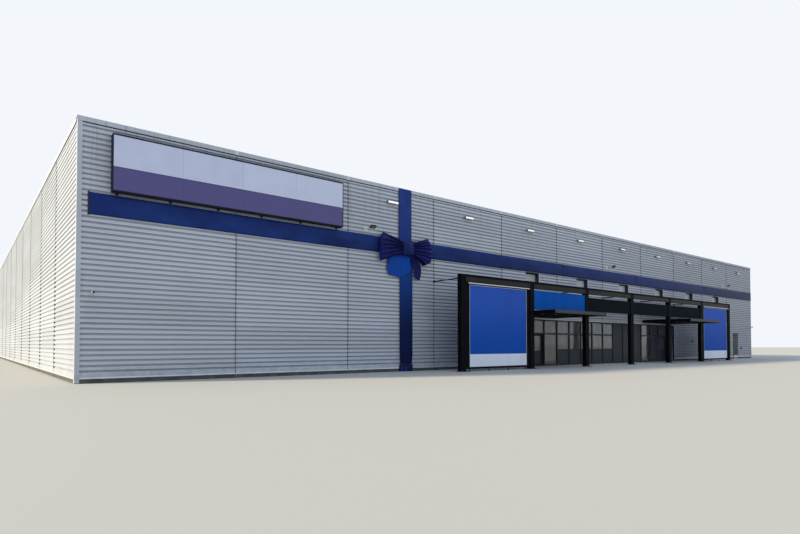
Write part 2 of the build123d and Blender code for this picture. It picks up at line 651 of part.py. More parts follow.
with BuildPart() as shopfront_frame:
    block(SHOP_LEFT, SHOP_RIGHT, y0, y1, post_under, SHOP_HEAD_Z)
    for i, x in enumerate(post_x):
        pair = PANE_KINDS[max(i - 1, 0):i + 1]
        foot = TRANSOM_Z + RAIL_HEIGHT + SEAT_GAP if pair == "dd" else 0
        x0 = pane_edges(i - 1)[1] if i else SHOP_LEFT
        x1 = pane_edges(i)[0] if i < len(PANE_KINDS) else SHOP_RIGHT
        block(x0, x1, y0, y1, foot, post_under - SEAT_GAP)
    for i, kind in enumerate(PANE_KINDS):
        x0, x1 = pane_edges(i)
        heights = {"f": (0, TRANSOM_Z), "w": (0, MIDRAIL_Z, TRANSOM_Z), "p": (0,), "d": ()}[kind]
        for z in heights:
            block(x0 + SEAT_GAP, x1 - SEAT_GAP, y0, y1, z, z + RAIL_HEIGHT)
    for i in range(len(PANE_KINDS) - 1):
        if PANE_KINDS[i:i + 2] == "dd":
            x0, x1 = pane_edges(i)[0], pane_edges(i + 1)[1]
            for z, tall in ((0, FLOOR_TOP), (TRANSOM_Z, RAIL_HEIGHT)):
                block(x0 + SEAT_GAP, x1 - SEAT_GAP, y0, y1, z, z + tall)
save(shopfront_frame, "shopfront_frame")

with BuildPart() as shopfront_glass:
    g0, g1 = FRONT + GLASS_SETBACK, FRONT + GLASS_SETBACK + GLASS_THICK
    for i, kind in enumerate(PANE_KINDS):
        x0, x1 = pane_edges(i)
        spans = {
            "f": ((RAIL_HEIGHT, TRANSOM_Z), (TRANSOM_Z + RAIL_HEIGHT, post_under)),
            "w": ((MIDRAIL_Z + RAIL_HEIGHT, TRANSOM_Z), (TRANSOM_Z + RAIL_HEIGHT, post_under)),
            "d": ((TRANSOM_Z + RAIL_HEIGHT, post_under),),
            "p": (),
        }[kind]
        for low, high in spans:
            block(x0, x1, g0, g1, low, high)
save(shopfront_glass, "shopfront_glass")

with BuildPart() as shopfront_panels:
    for i, kind in enumerate(PANE_KINDS):
        x0, x1 = pane_edges(i)
        if kind in "wp":
            top = MIDRAIL_Z if kind == "w" else post_under
            block(x0, x1, g0, g0 + PANEL_THICK, RAIL_HEIGHT, top)
save(shopfront_panels, "shopfront_panels")

# Sliding doors: a track behind the transom of each pair, and two glazed leaves under it
leaf_y = FRONT + LEAF_SETBACK
leaf_top = TRANSOM_Z - LEAF_TOP_GAP
track_under = TRANSOM_Z
pairs = [i for i in range(len(PANE_KINDS) - 1) if PANE_KINDS[i:i + 2] == "dd"]
with BuildPart() as door_tracks:
    for i in pairs:
        x0, x1 = post_x[i - 1] + POST_WIDTH, post_x[i + 3] - POST_WIDTH
        block(x0, x1, y1, y1 + TRACK_DEPTH, track_under, track_under + TRACK_HEIGHT)
save(door_tracks, "door_tracks")

LEAF_WIDTH = PANE - LEAF_MEETING_GAP / 2
for pair_name, i in zip(("entrance", "exit"), pairs):
    meeting = post_x[i + 1]
    for side_name, side in (("left", -1), ("right", 1)):
        with BuildPart() as leaf:
            near = meeting + side * LEAF_MEETING_GAP / 2
            x0, x1 = sorted((near, near + side * LEAF_WIDTH))
            z0 = FLOOR_TOP + LEAF_FLOOR_GAP
            s = LEAF_STILE_WIDTH
            block(x0, x1, leaf_y, leaf_y + LEAF_THICK, z0, leaf_top)
            block(x0 + s, x1 - s, leaf_y, leaf_y + LEAF_THICK, z0 + s, leaf_top - s, Mode.SUBTRACT)
            pane_y = leaf_y + (LEAF_THICK - LEAF_GLASS_THICK) / 2
            block(x0 + s, x1 - s, pane_y, pane_y + LEAF_GLASS_THICK, z0 + s, leaf_top - s)
            hanger, hanger_t = HANGER
            mid_y = leaf_y + LEAF_THICK / 2
            for x in (x0 + HANGER_INSET, x1 - HANGER_INSET):
                block(x - hanger / 2, x + hanger / 2, mid_y - hanger_t / 2, mid_y + hanger_t / 2,
                      leaf_top, track_under - SEAT_GAP)
        save(leaf, f"{pair_name}_leaf_{side_name}")

# Side door: a lined frame, and a leaf on three lift-off hinges
frame_front = FRONT - DOOR_FRAME_PROUD
with BuildPart() as thresholds:
    block(SHOP_LEFT, SHOP_RIGHT, FRONT + POST_DEPTH, FRONT + WALL, 0, FLOOR_TOP)
    f = DOOR_FRAME_WIDTH
    block(DOOR_LEFT + f, DOOR_RIGHT - f, frame_front, FRONT + WALL, 0, FLOOR_TOP)
save(thresholds, "thresholds")

pivot_x = DOOR_LEFT + DOOR_FRAME_WIDTH + DOOR_GAP
pivot_y = frame_front - HINGE_OFFSET
with BuildPart() as side_door_frame:
    f = DOOR_FRAME_WIDTH
    block(DOOR_LEFT, DOOR_RIGHT, frame_front, frame_front + DOOR_FRAME_DEPTH, 0, DOOR_HEAD)
    block(DOOR_LEFT + f, DOOR_RIGHT - f, frame_front, frame_front + DOOR_FRAME_DEPTH,
          0, DOOR_HEAD - f, Mode.SUBTRACT)
    for z in HINGE_HEIGHTS:
        with Locations((pivot_x, pivot_y, z + KNUCKLE_HEIGHT / 2)):
            Cylinder(KNUCKLE_R, KNUCKLE_HEIGHT)
        block(pivot_x - HINGE_TAB, pivot_x - DOOR_GAP / 2, frame_front - HINGE_OFFSET, frame_front,
              z, z + KNUCKLE_HEIGHT)
        y0, y1 = pivot_y - HINGE_TAB_THICK / 2, pivot_y + HINGE_TAB_THICK / 2
        block(pivot_x - DOOR_GAP / 2, pivot_x, y0, y1, z, z + KNUCKLE_HEIGHT)
save(side_door_frame, "side_door_frame")

with BuildPart() as side_door_leaf:
    x0, x1 = pivot_x, DOOR_RIGHT - DOOR_FRAME_WIDTH - DOOR_GAP
    z0, z1 = FLOOR_TOP + LEAF_FLOOR_GAP, DOOR_HEAD - DOOR_FRAME_WIDTH - DOOR_GAP
    block(x0, x1, frame_front, frame_front + DOOR_LEAF_THICK, z0, z1)
    for z in HINGE_HEIGHTS:
        low = z + KNUCKLE_HEIGHT + SEAT_GAP
        with Locations((pivot_x, pivot_y, low + KNUCKLE_HEIGHT / 2)):
            Cylinder(KNUCKLE_R, KNUCKLE_HEIGHT)
        block(pivot_x, pivot_x + HINGE_TAB, pivot_y, frame_front, low, low + KNUCKLE_HEIGHT)
    handle_x = x1 - HANDLE_INSET
    with Locations(Location((handle_x, frame_front - HANDLE_REACH / 2, HANDLE_Z), (90, 0, 0))):
        Cylinder(HANDLE_R, HANDLE_REACH)
    block(handle_x - HANDLE_LEVER, handle_x + HANDLE_R, frame_front - HANDLE_REACH,
          frame_front - HANDLE_REACH + 2 * HANDLE_R, HANDLE_Z - HANDLE_R, HANDLE_Z + HANDLE_R)
save(side_door_leaf, "side_door_leaf")
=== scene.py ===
# %% [markdown]
# # Building supply store, half size
# This notebook dresses a long metal-clad store. The solids come from a CAD model and stay
# where they are: here they get their finishes, and the pieces that only the eye needs, such as
# joint fillers, trims, bolts and the cloth of the gift ribbon, are modelled around them.

# %% Load the frame
import bpy
import bmesh
import math
from mathutils import Matrix, Vector, noise


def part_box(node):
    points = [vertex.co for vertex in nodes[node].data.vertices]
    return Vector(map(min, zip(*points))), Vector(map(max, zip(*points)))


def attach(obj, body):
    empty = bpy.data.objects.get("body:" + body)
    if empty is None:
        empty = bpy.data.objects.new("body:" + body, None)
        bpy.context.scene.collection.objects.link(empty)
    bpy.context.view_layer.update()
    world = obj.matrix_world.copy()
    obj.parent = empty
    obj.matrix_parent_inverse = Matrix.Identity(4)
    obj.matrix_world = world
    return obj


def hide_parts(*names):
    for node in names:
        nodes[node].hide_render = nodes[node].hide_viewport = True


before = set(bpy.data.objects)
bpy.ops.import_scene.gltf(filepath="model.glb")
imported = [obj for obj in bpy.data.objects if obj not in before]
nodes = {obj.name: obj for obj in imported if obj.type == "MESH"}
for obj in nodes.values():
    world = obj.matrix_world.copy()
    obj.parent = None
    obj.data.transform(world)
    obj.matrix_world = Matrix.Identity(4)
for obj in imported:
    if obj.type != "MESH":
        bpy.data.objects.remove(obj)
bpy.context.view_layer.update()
scene = bpy.context.scene

# %% [markdown]
# The camera stands where the photograph was taken: near the left corner at eye height, looking
# along the front. Its place was found from the corners of the building, and is given here in
# real metres from the foot of the left front corner. The model is half size, so it is halved.

# %% Camera
IMAGE_WIDTH, IMAGE_HEIGHT = 800, 534
FOCAL_PIXELS = 548.25
CENTRE_ROW = 331.85           # row of the picture that the lens points at
SCALE = 0.5
EYE = Vector((-2.989, -21.475, 1.3295))
TILT, TURN = 0.0238, 0.6738   # up and to the right of straight ahead, in radians
SIGHT = 500                   # metres that the camera sees

wall_low, wall_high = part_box("front_cladding")
corner = Vector((wall_low.x, wall_low.y, 0))
camera = bpy.data.objects.new("camera", bpy.data.cameras.new("camera"))
scene.collection.objects.link(camera)
camera.location = corner + SCALE * EYE
camera.rotation_euler = (math.pi / 2 + TILT, 0, -TURN)
camera.data.lens = FOCAL_PIXELS / IMAGE_WIDTH * camera.data.sensor_width
camera.data.shift_y = (CENTRE_ROW - IMAGE_HEIGHT / 2) / IMAGE_WIDTH
camera.data.clip_end = SIGHT
scene.camera = camera
print("camera at", tuple(camera.location), "lens", camera.data.lens)

# %% [markdown]
# The store stands under an even sky. The sky gives light of one colour, and shows a paler one
# where the camera, metal and glass see it. Light Path tells which ray is asking, and a Mix
# Shader picks between two Backgrounds.

# %% Sky
SKY_COLOUR, SKY_STRENGTH = (0.74, 0.86, 1.0), 0.90
BACKDROP = (0.90, 0.93, 0.97)

scene.view_settings.view_transform = "Standard"
world = bpy.data.worlds.new("sky")
world.use_nodes = True
scene.world = world
sky = world.node_tree
rays = sky.nodes.new("ShaderNodeLightPath")
seen = rays.outputs["Is Camera Ray"]
for kind in ("Is Glossy Ray", "Is Transmission Ray"):
    either = sky.nodes.new("ShaderNodeMath")
    either.operation = "MAXIMUM"
    sky.links.new(seen, either.inputs[0])
    sky.links.new(rays.outputs[kind], either.inputs[1])
    seen = either.outputs[0]
light = sky.nodes["Background"]
light.inputs["Color"].default_value = (*SKY_COLOUR, 1)
light.inputs["Strength"].default_value = SKY_STRENGTH
backdrop = sky.nodes.new("ShaderNodeBackground")
backdrop.inputs["Color"].default_value = (*BACKDROP, 1)
blend = sky.nodes.new("ShaderNodeMixShader")
for source, socket in zip((seen, light.outputs[0], backdrop.outputs[0]), blend.inputs):
    sky.links.new(source, socket)
sky.links.new(blend.outputs[0], sky.nodes["World Output"].inputs["Surface"])
print("sky of strength", SKY_STRENGTH)

# %% [markdown]
# A low sun from the left, a little behind the front wall, lights the long side wall and leaves
# the front in open shade, which is how the two walls part in daylight. The floor is a plain
# pale sheet.

# %% Sun and floor
SUN_COLOUR, SUN_STRENGTH = (1.0, 0.85, 0.57), 6.3
SUN_TOWARDS = Vector((0.86, -0.30, -0.42))
SUN_SPREAD = 6                # degrees: a soft-edged shadow
FLOOR_COLOUR, FLOOR_ROUGH, FLOOR_SIZE = (0.40, 0.40, 0.40), 0.9, 160

sun = bpy.data.objects.new("sun", bpy.data.lights.new("sun", "SUN"))
scene.collection.objects.link(sun)
sun.data.energy = SUN_STRENGTH
sun.data.angle = math.radians(SUN_SPREAD)
sun.data.color = SUN_COLOUR
sun.rotation_euler = SUN_TOWARDS.to_track_quat("-Z", "Y").to_euler()

plain = bmesh.new()
bmesh.ops.create_grid(plain, x_segments=1, y_segments=1, size=FLOOR_SIZE)
floor_mesh = bpy.data.meshes.new("floor")
plain.to_mesh(floor_mesh)
plain.free()
floor = bpy.data.objects.new("floor", floor_mesh)
scene.collection.objects.link(floor)
floor_paint = bpy.data.materials.new("floor")
floor_paint.use_nodes = True
floor_shader = floor_paint.node_tree.nodes["Principled BSDF"]
floor_shader.inputs["Base Color"].default_value = (*FLOOR_COLOUR, 1)
floor_shader.inputs["Roughness"].default_value = FLOOR_ROUGH
floor_mesh.materials.append(floor_paint)
print("sun from the left, of strength", SUN_STRENGTH)

# %% [markdown]
# Finishes are node trees, and node trees are sums and products of patterns. Wrapping a socket
# in a small class lets Python's own operators write those sums, so a finish reads like the
# recipe that it is.

# %% Sockets that calculate
class Tap:
    """An output socket. An operator on it adds the Math node that does the sum."""

    def __init__(self, finish, socket):
        self.finish, self.socket = finish, socket

    def maths(self, operation, first, second=0.0):
        """A Math node that works on one or two values."""
        return self.finish.add("Math", {"operation": operation}, {0: first, 1: second})

    def __add__(self, other):
        return self.maths("ADD", self, other)

    def __sub__(self, other):
        return self.maths("SUBTRACT", self, other)

    def __rsub__(self, other):
        return self.maths("SUBTRACT", other, self)

    def __mul__(self, other):
        return self.maths("MULTIPLY", self, other)

    def __truediv__(self, other):
        return self.maths("DIVIDE", self, other)

    def __mod__(self, other):
        return self.maths("FLOORED_MODULO", self, other)

    def __lt__(self, other):
        return self.maths("LESS_THAN", self, other)

    def __gt__(self, other):
        return self.maths("GREATER_THAN", self, other)

    def __abs__(self):
        return self.maths("ABSOLUTE", self)

    def floor(self):
        """The whole number below."""
        return self.maths("FLOOR", self)

    def higher(self, other):
        """The higher of the two."""
        return self.maths("MAXIMUM", self, other)

    def ramp(self, low, high):
        """0 below low, 1 above high and smooth between them, or the other way round."""
        falls = low > high
        settings = {"interpolation_type": "SMOOTHSTEP"}
        ends = (high, low, 1.0, 0.0) if falls else (low, high, 0.0, 1.0)
        return self.finish.add("MapRange", settings, {0: self, **dict(enumerate(ends, 1))})

    __radd__ = __add__
    __rmul__ = __mul__


print("sockets can be added, multiplied and compared")

# %% [markdown]
# The second class is the finish itself. Any node that isn't a sum comes from its method add,
# which takes the node's type, then its settings, then the values or links of its inputs. The
# other methods are short names for what every recipe needs: clouds, chances, mixes and relief.

# %% Finishes
class Finish:
    """A material in the making, with its shader and the object coordinates."""

    def __init__(self, name, **surface):
        self.material = bpy.data.materials.new(name)
        self.material.use_nodes = True
        self.tree = self.material.node_tree
        self.shader = self.tree.nodes["Principled BSDF"]
        self.place = self.add("TexCoord", output="Object")
        for title, value in surface.items():
            self.set(title.replace("_", " "), value)

    def add(self, kind, settings=None, inputs=None, output=0):
        """A new node, as the socket that it gives out."""
        node = self.tree.nodes.new("ShaderNode" + kind)
        for title, value in (settings or {}).items():
            setattr(node, title, value)
        for title, value in (inputs or {}).items():
            self.feed(node.inputs[title], value)
        return Tap(self, node.outputs[output])

    def feed(self, socket, value):
        """Link an input to a socket, or give it a value."""
        if isinstance(value, Tap):
            self.tree.links.new(value.socket, socket)
        elif socket.type == "RGBA":
            socket.default_value = (*value[:3], 1)
        else:
            socket.default_value = value

    def set(self, title, value):
        """Feed one of the shader's own inputs."""
        self.feed(self.shader.inputs[title], value)

    def axes(self):
        """The x, y and z of the object coordinates, as three sockets."""
        split = self.add("SeparateXYZ", inputs={0: self.place})
        return [Tap(self, socket) for socket in split.socket.node.outputs]

    def mix(self, mask, under, over):
        """One colour over another where the mask is 1."""
        return self.add("Mix", {"data_type": "RGBA"}, {0: mask, 6: under, 7: over}, 2)

    def shade(self, colour, value):
        """A colour made darker or lighter by a value."""
        grey = self.add("CombineXYZ", inputs={0: value, 1: value, 2: value})
        settings = {"data_type": "RGBA", "blend_type": "MULTIPLY"}
        return self.add("Mix", settings, {0: 1.0, 6: colour, 7: grey}, 2)

    def noise(self, size, stretch=(1, 1, 1), detail=3.0):
        """Cloudy noise from about 0.3 to 0.7, with patches of this size in metres."""
        scale = tuple(part / size for part in stretch)
        place = self.add("VectorMath", {"operation": "MULTIPLY"}, {0: self.place, 1: scale})
        return self.add("TexNoise", inputs={"Vector": place, "Scale": 1.0, "Detail": detail})

    def chance(self, *cells):
        """A number from 0 to 1 that is the same all over one cell."""
        place = self.add("CombineXYZ", inputs=dict(enumerate(cells)))
        return self.add("TexWhiteNoise", {"noise_dimensions": "3D"}, {"Vector": place})

    def bump(self, height, depth):
        """Relief of this depth in metres, where the height is 1."""
        settings = {"Strength": 1.0, "Distance": depth, "Height": height}
        self.set("Normal", self.add("Bump", inputs=settings))


def wear(finish, *names):
    """Give CAD pieces a finish."""
    for name in names:
        for slot in nodes[name].material_slots:
            slot.material = finish.material


print("a finish can be worn by", len(nodes), "pieces")

# %% [markdown]
# The places that the finishes and the new pieces need are read from the CAD boxes: the planes
# of the four walls, and the foot and the top of the sheets. Typed in by hand they would go
# wrong as soon as a size changes. The profile of the ribs and the bays between the sheet
# joints don't show in a box, so they are repeated here in metres.

# %% Places
LEFT, FRONT = wall_low.x, wall_low.y
RIGHT, WALL_TOP = wall_high.x, wall_high.z
SHEET_FOOT = wall_low.z
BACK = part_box("back_cladding")[1].y
RIB_PITCH, RIB_CREST, RIB_WEB, RIB_DEPTH = 0.0925, 0.056, 0.008, 0.020
BAY, FRONT_FIRST, SIDE_FIRST = 2.7, 2.825, 2.715
STRIP_WIDTH = 0.018
GAP = 0.0003                  # a piece that rests on another keeps this clear

RIB_COUNT = int((WALL_TOP - SHEET_FOOT) // RIB_PITCH)
RIB_START = WALL_TOP - RIB_COUNT * RIB_PITCH
valley_z = [RIB_START + (i + 0.5) * RIB_PITCH for i in range(RIB_COUNT)]
crest_z = [RIB_START + i * RIB_PITCH for i in range(1, RIB_COUNT)]


def joint_places(start, end, first):
    """Middles of the sheet joints along a wall."""
    count = int((end - start - first - BAY / 2) // BAY) + 1
    return [start + first + i * BAY for i in range(count)]


front_joints = joint_places(LEFT, RIGHT, FRONT_FIRST)
side_joints = joint_places(FRONT, BACK, SIDE_FIRST)
print(len(front_joints), "joints on the front,", len(side_joints), "on a side,", RIB_COUNT, "ribs")

# %% [markdown]
# The outer sheet is silver coated steel. A picture of such a wall would repeat or blur, so
# every mark is worked out from the place of a point instead. Real sheets differ a little from
# one to the next, so white noise gives each its own tone. The narrow valleys are painted dark:
# a little of it is dust, most is painted shade for the sky that they hardly see, and it draws
# the dark lines across the whole building. Rain pulls faint streaks down from the parapet cap,
# and leaves a little mud at the foot. Towards the far end the sheet is darkened by painted
# shade.

# %% Ribbed steel
SILVER = (0.465, 0.500, 0.575)
VALLEY_SHADE_AND_LAP = (0.110, 0.125, 0.150)
STREAK = (0.20, 0.21, 0.22)
MUD = (0.20, 0.185, 0.165)
SHEET_HEIGHT, SHEET_LAP = 5 * RIB_PITCH, 0.003
FAR_SHADE = 0.23               # painted shade: the far right end is darker by this share
COATED = 0.24                 # how metallic the coat still looks


def weathered_steel(finish, along_x):
    """Silver, a tone per sheet, cap streaks, mud at the foot, and painted shade to the far right.
    """
    x, y, z = finish.axes()
    along, wall_end, first = (x, LEFT, FRONT_FIRST) if along_x else (y, FRONT, SIDE_FIRST)
    bay = ((along - wall_end - first) / BAY).floor()
    row = ((z - SHEET_FOOT) / SHEET_HEIGHT).floor()
    # painted shade: every wall and trim darkens towards the far right end, by FAR_SHADE
    tone = (0.93 + 0.12 * finish.chance(bay, row, 0.5)) * (1 - FAR_SHADE * x.ramp(-3.0, 15.0))
    cloud = finish.noise(0.9, (1, 1, 0.7))
    colour = finish.shade(SILVER, tone * (0.90 + 0.2 * cloud))
    streak = finish.noise(0.05, (1, 1, 0.04)).ramp(0.50, 0.72)
    colour = finish.mix(streak * z.ramp(2.6, 4.6) * 0.30, colour, STREAK)
    splash = finish.noise(0.12).ramp(0.36, 0.66) * z.ramp(0.45, 0.05)
    colour = finish.mix(splash * 0.22, colour, MUD)
    lap = ((z - SHEET_FOOT) % SHEET_HEIGHT) < SHEET_LAP
    return finish.mix(lap * 0.6, colour, VALLEY_SHADE_AND_LAP), 0.42 + 0.22 * cloud + 0.2 * splash


def ribbed_steel(name, along_x, valley_dust_and_shade, gloss, coat):
    """Sheet with dust and painted shade in its valleys, for two walls facing away from each other.

    gloss is how much shine it has, and coat is painted shade: a factor that darkens the whole
    sheet."""
    finish = Finish(name, Metallic=COATED, Specular_IOR_Level=gloss)
    x, y = finish.axes()[:2]
    out, near, far = (y, FRONT, BACK) if along_x else (x, LEFT, RIGHT)
    depth = (far - near) / 2 - abs(out - (near + far) / 2)
    colour, rough = weathered_steel(finish, along_x)
    # coat darkens the whole sheet: painted shade, below 1 on the sunlit side
    colour = finish.shade(colour, coat)
    # dust masks the valleys: a little real dust, mostly painted shade where they see little sky
    dust = depth.ramp(0.001, 0.012)
    finish.set("Base Color", finish.mix(dust * valley_dust_and_shade, colour, VALLEY_SHADE_AND_LAP))
    finish.set("Roughness", rough + 0.25 * dust)
    finish.bump(finish.noise(0.35, (1, 1, 2), 2.0), 0.004)
    return finish


# Copies of one steel that differ in painted light: more painted shade in the valleys of the shaded
# front, and the sunlit side painted darker all over
steel_front = ribbed_steel("ribbed_steel_front", True, valley_dust_and_shade=0.38, gloss=0.5, coat=1.0)
steel_side = ribbed_steel("ribbed_steel_side", False, valley_dust_and_shade=0.18, gloss=0.1, coat=0.93)
wear(steel_front, "front_cladding", "back_cladding")
wear(steel_side, "side_cladding")
print("steel on", RIB_COUNT, "ribs")

# %% [markdown]
# Trims are folded from the same coil: corner angles and the cap of the parapet. A recipe of
# their own could drift away from the sheets beside them, so they share that one, painted shade
# towards the far end included. They have no valleys, so they read as plain bright lines. The
# narrow strips in the sheet joints are grey rubber profiles, and with the foam beside them,
# which is partly painted shade, they draw the thin upright lines.

# %% Folded trims
trim_steel = Finish("folded_steel", Metallic=COATED)
colour, rough = weathered_steel(trim_steel, True)
trim_steel.set("Base Color", trim_steel.shade(colour, 0.95))
trim_steel.set("Roughness", rough)
trim_steel.bump(trim_steel.noise(0.2, detail=2.0), 0.002)
wear(trim_steel, "corner_trims", "parapet_caps")


def cloudy(name, colour, dark, size, rough, grain=0.0008, **surface):
    """A quiet finish: two close colours in soft clouds, with a fine grain."""
    finish = Finish(name, **surface)
    cloud = finish.noise(size)
    speck = finish.noise(0.02, detail=4.0)
    finish.set("Base Color", finish.mix(cloud.ramp(0.35, 0.70), colour, dark))
    finish.set("Roughness", rough + 0.2 * (cloud - 0.5) + 0.1 * (speck - 0.5))
    finish.bump(speck, grain)
    return finish


galvanised = cloudy("galvanised_steel", (0.55, 0.57, 0.60), (0.36, 0.38, 0.41), 0.03, 0.38,
                    Metallic=0.8)
bright_trim = cloudy("bright_trim", (0.62, 0.64, 0.68), (0.52, 0.54, 0.58), 0.25, 0.35,
                     Metallic=0.4)
foam = cloudy("black_foam", (0.012, 0.013, 0.015), (0.025, 0.026, 0.028), 0.02, 0.85)
joint_rubber = cloudy("joint_rubber", (0.150, 0.160, 0.180), (0.190, 0.200, 0.220), 0.05, 0.7)
wear(joint_rubber, "joint_strips")
print("trims, galvanised steel, rubber and foam")

# %% [markdown]
# Inside, the walls have white liner sheets, the floor is power-floated concrete with saw
# cuts, and the roof outside is a grey membrane with a weld every metre and a half. The plinth
# is concrete, given a very dark grey. Each could have a node tree of its own, but clouds
# crossed by lines describe the floor and the roof alike, and clouds alone the rest, so two
# helpers make them all.

# %% Liner, concrete and roof
liner = cloudy("white_liner", (0.62, 0.63, 0.63), (0.52, 0.53, 0.54), 1.2, 0.55)
wear(liner, "front_wall_left", "front_wall_over_shopfront", "front_wall_middle",
     "front_wall_over_door", "front_wall_right", "front_wall_upper", "front_window_piers",
     "back_wall", "left_wall", "right_wall")

ROOF_SHEET, ROOF_WELD = 0.75, 0.02
FLOOR_CUT, CUT_WIDTH = 2.4, 0.008


def lined(name, colour, dark, line_colour, step, width, both=False, rough=0.7):
    """Clouds crossed by lines: welds of a membrane, or saw cuts in a floor."""
    finish = Finish(name)
    x, y = finish.axes()[:2]
    cloud, fine = finish.noise(2.3, detail=5.0), finish.noise(0.05, detail=5.0)
    line = (x % step) < width
    if both:
        line = line.higher((y % step) < width)
    colour = finish.shade(finish.mix(cloud.ramp(0.25, 0.75), colour, dark), 0.85 + 0.3 * fine)
    finish.set("Base Color", finish.mix(line * 0.8, colour, line_colour))
    finish.set("Roughness", rough + 0.3 * (fine - 0.5))
    finish.bump(fine - line, 0.003)
    return finish


membrane = lined("roof_membrane", (0.30, 0.31, 0.32), (0.25, 0.26, 0.27), (0.17, 0.18, 0.19),
                 ROOF_SHEET, ROOF_WELD, rough=0.85)
wear(membrane, "roof_deck")
wear(lined("hall_floor", (0.24, 0.24, 0.23), (0.17, 0.17, 0.165), (0.05, 0.05, 0.05),
           FLOOR_CUT, CUT_WIDTH, True, 0.45), "floor_slab", "thresholds")
wear(cloudy("plinth_concrete", (0.055, 0.058, 0.062), (0.10, 0.098, 0.092), 0.15, 0.8,
            grain=0.002), "plinth")
print("inside, roof and plinth")

# %% [markdown]
# The portico is black powder coat over heavy steel. It is never quite black: dust lies on it,
# more near its foot, and the coat has a fine orange peel. The shop front next to it is
# anthracite, a shade lighter and smoother. One helper mixes every paint, so that they all age
# in the same way.

# %% Paints
DUST_HEIGHT = 0.5             # below this the dust is thicker


def powder_coat(name, colour, dust, rough, gloss=0.25):
    """Paint with clouds of dust, thicker near the foot, and an orange peel."""
    finish = Finish(name, Specular_IOR_Level=gloss)
    height = finish.axes()[2]
    cloud = finish.noise(0.4)
    low = height.ramp(DUST_HEIGHT, 0.0) * finish.noise(0.06, detail=4.0).ramp(0.35, 0.7)
    colour = finish.mix(cloud.ramp(0.42, 0.72) * 0.35, colour, dust)
    finish.set("Base Color", finish.mix(low * 0.6, colour, dust))
    finish.set("Roughness", rough + 0.25 * (cloud - 0.5) + 0.25 * low)
    finish.bump(finish.noise(0.004, detail=1.0), 0.0002)
    return finish


black_paint = powder_coat("black_powder_coat", (0.003, 0.003, 0.005), (0.010, 0.010, 0.011),
                          0.6, gloss=0.04)
anthracite = powder_coat("anthracite_paint", (0.026, 0.030, 0.036), (0.050, 0.052, 0.056),
                         0.42, gloss=0.14)
panel_paint = powder_coat("dark_panel_paint", (0.030, 0.036, 0.046), (0.046, 0.051, 0.060),
                          0.40, gloss=0.15)
# painted light: the beam is a lighter copy of the black paint, for the sky on its web
lit_beam_paint = powder_coat("beam_lit_powder_coat", (0.013, 0.014, 0.014), (0.030, 0.031, 0.029),
                         0.45, gloss=0.12)
fascia_paint = powder_coat("fascia_paint", (0.004, 0.007, 0.012), (0.010, 0.013, 0.018),
                           0.6, gloss=0.02)
wear(black_paint, "portico_columns", "portico_ties", "billboard_frames", "canopies")
wear(anthracite, "shopfront_frame", "door_tracks", "side_door_frame", "side_door_leaf")
wear(panel_paint, "shopfront_panels")
wear(lit_beam_paint, "portico_beam")
wear(fascia_paint, "fascia_panels")
print("black and anthracite paint")

# %% [markdown]
# Shop glass is clear, with a little green in its depth and a film of dust. Broad patches of
# lighter and darker tint are partly smears and partly painted reflection. The high panes let no
# light through and are painted pale: painted reflection of the bright sky above them. The
# blinds could be modelled, but from so far below a pane that lets no light through looks the
# same.

# %% Glass
def glazing(name, tint, clear, rough):
    """Glass with smears and patches of painted reflection, as clear as it is told."""
    finish = Finish(name, IOR=1.45, Transmission_Weight=clear, Specular_IOR_Level=0.35)
    smear_and_reflection = finish.noise(0.30, (1, 1, 0.35), 4.0)
    finish.set("Base Color", finish.shade(tint, 0.62 + 0.62 * smear_and_reflection))
    finish.set("Roughness", rough + 0.08 * smear_and_reflection.ramp(0.45, 0.75))
    finish.bump(finish.noise(0.6, detail=1.0), 0.003)
    return finish


SHOP_GLASS = (0.74, 0.80, 0.80), 0.92, 0.02
clear_glass = glazing("clear_glass", *SHOP_GLASS)
# painted reflection: the high panes are opaque and pale, for the sky that they reflect
sky_reflection_glass = glazing("sky_reflection_glass", (0.56, 0.57, 0.62), 0.0, 0.12)
wear(clear_glass, "shopfront_glass")
wear(sky_reflection_glass, "high_window_glass")
print("clear panes below, panes with blinds above")

# %% [markdown]
# The sign is a light box with two bare faces of acrylic: pale lilac above and violet below.
# They have the slight unevenness of lamps behind acrylic, and the joints where the sheets
# meet. One finish can serve both, because the parting of the two faces is read from the gap
# between the two solids.

# %% Sign faces
def solids(name):
    """Box of each separate solid of a CAD piece, from left to right, then upwards."""
    form = bmesh.new()
    form.from_mesh(nodes[name].data)
    bmesh.ops.remove_doubles(form, verts=form.verts, dist=1e-6)
    left, boxes = set(form.verts), []
    while left:
        reached, group = [left.pop()], []
        while reached:
            vert = reached.pop()
            group.append(vert.co.copy())
            near = {edge.other_vert(vert) for edge in vert.link_edges} & left
            left -= near
            reached.extend(near)
        low = Vector(min(co[i] for co in group) for i in range(3))
        high = Vector(max(co[i] for co in group) for i in range(3))
        boxes.append((low, high))
    form.free()
    return sorted(boxes, key=lambda box: (round(box[0].x, 3), box[0].z))


lower_face, upper_face = solids("sign_faces")
SIGN_SPLIT = (lower_face[1].z + upper_face[0].z) / 2
SIGN_SHEET, SIGN_SEAM = 1.186, 0.004     # width of an acrylic sheet and of a joint

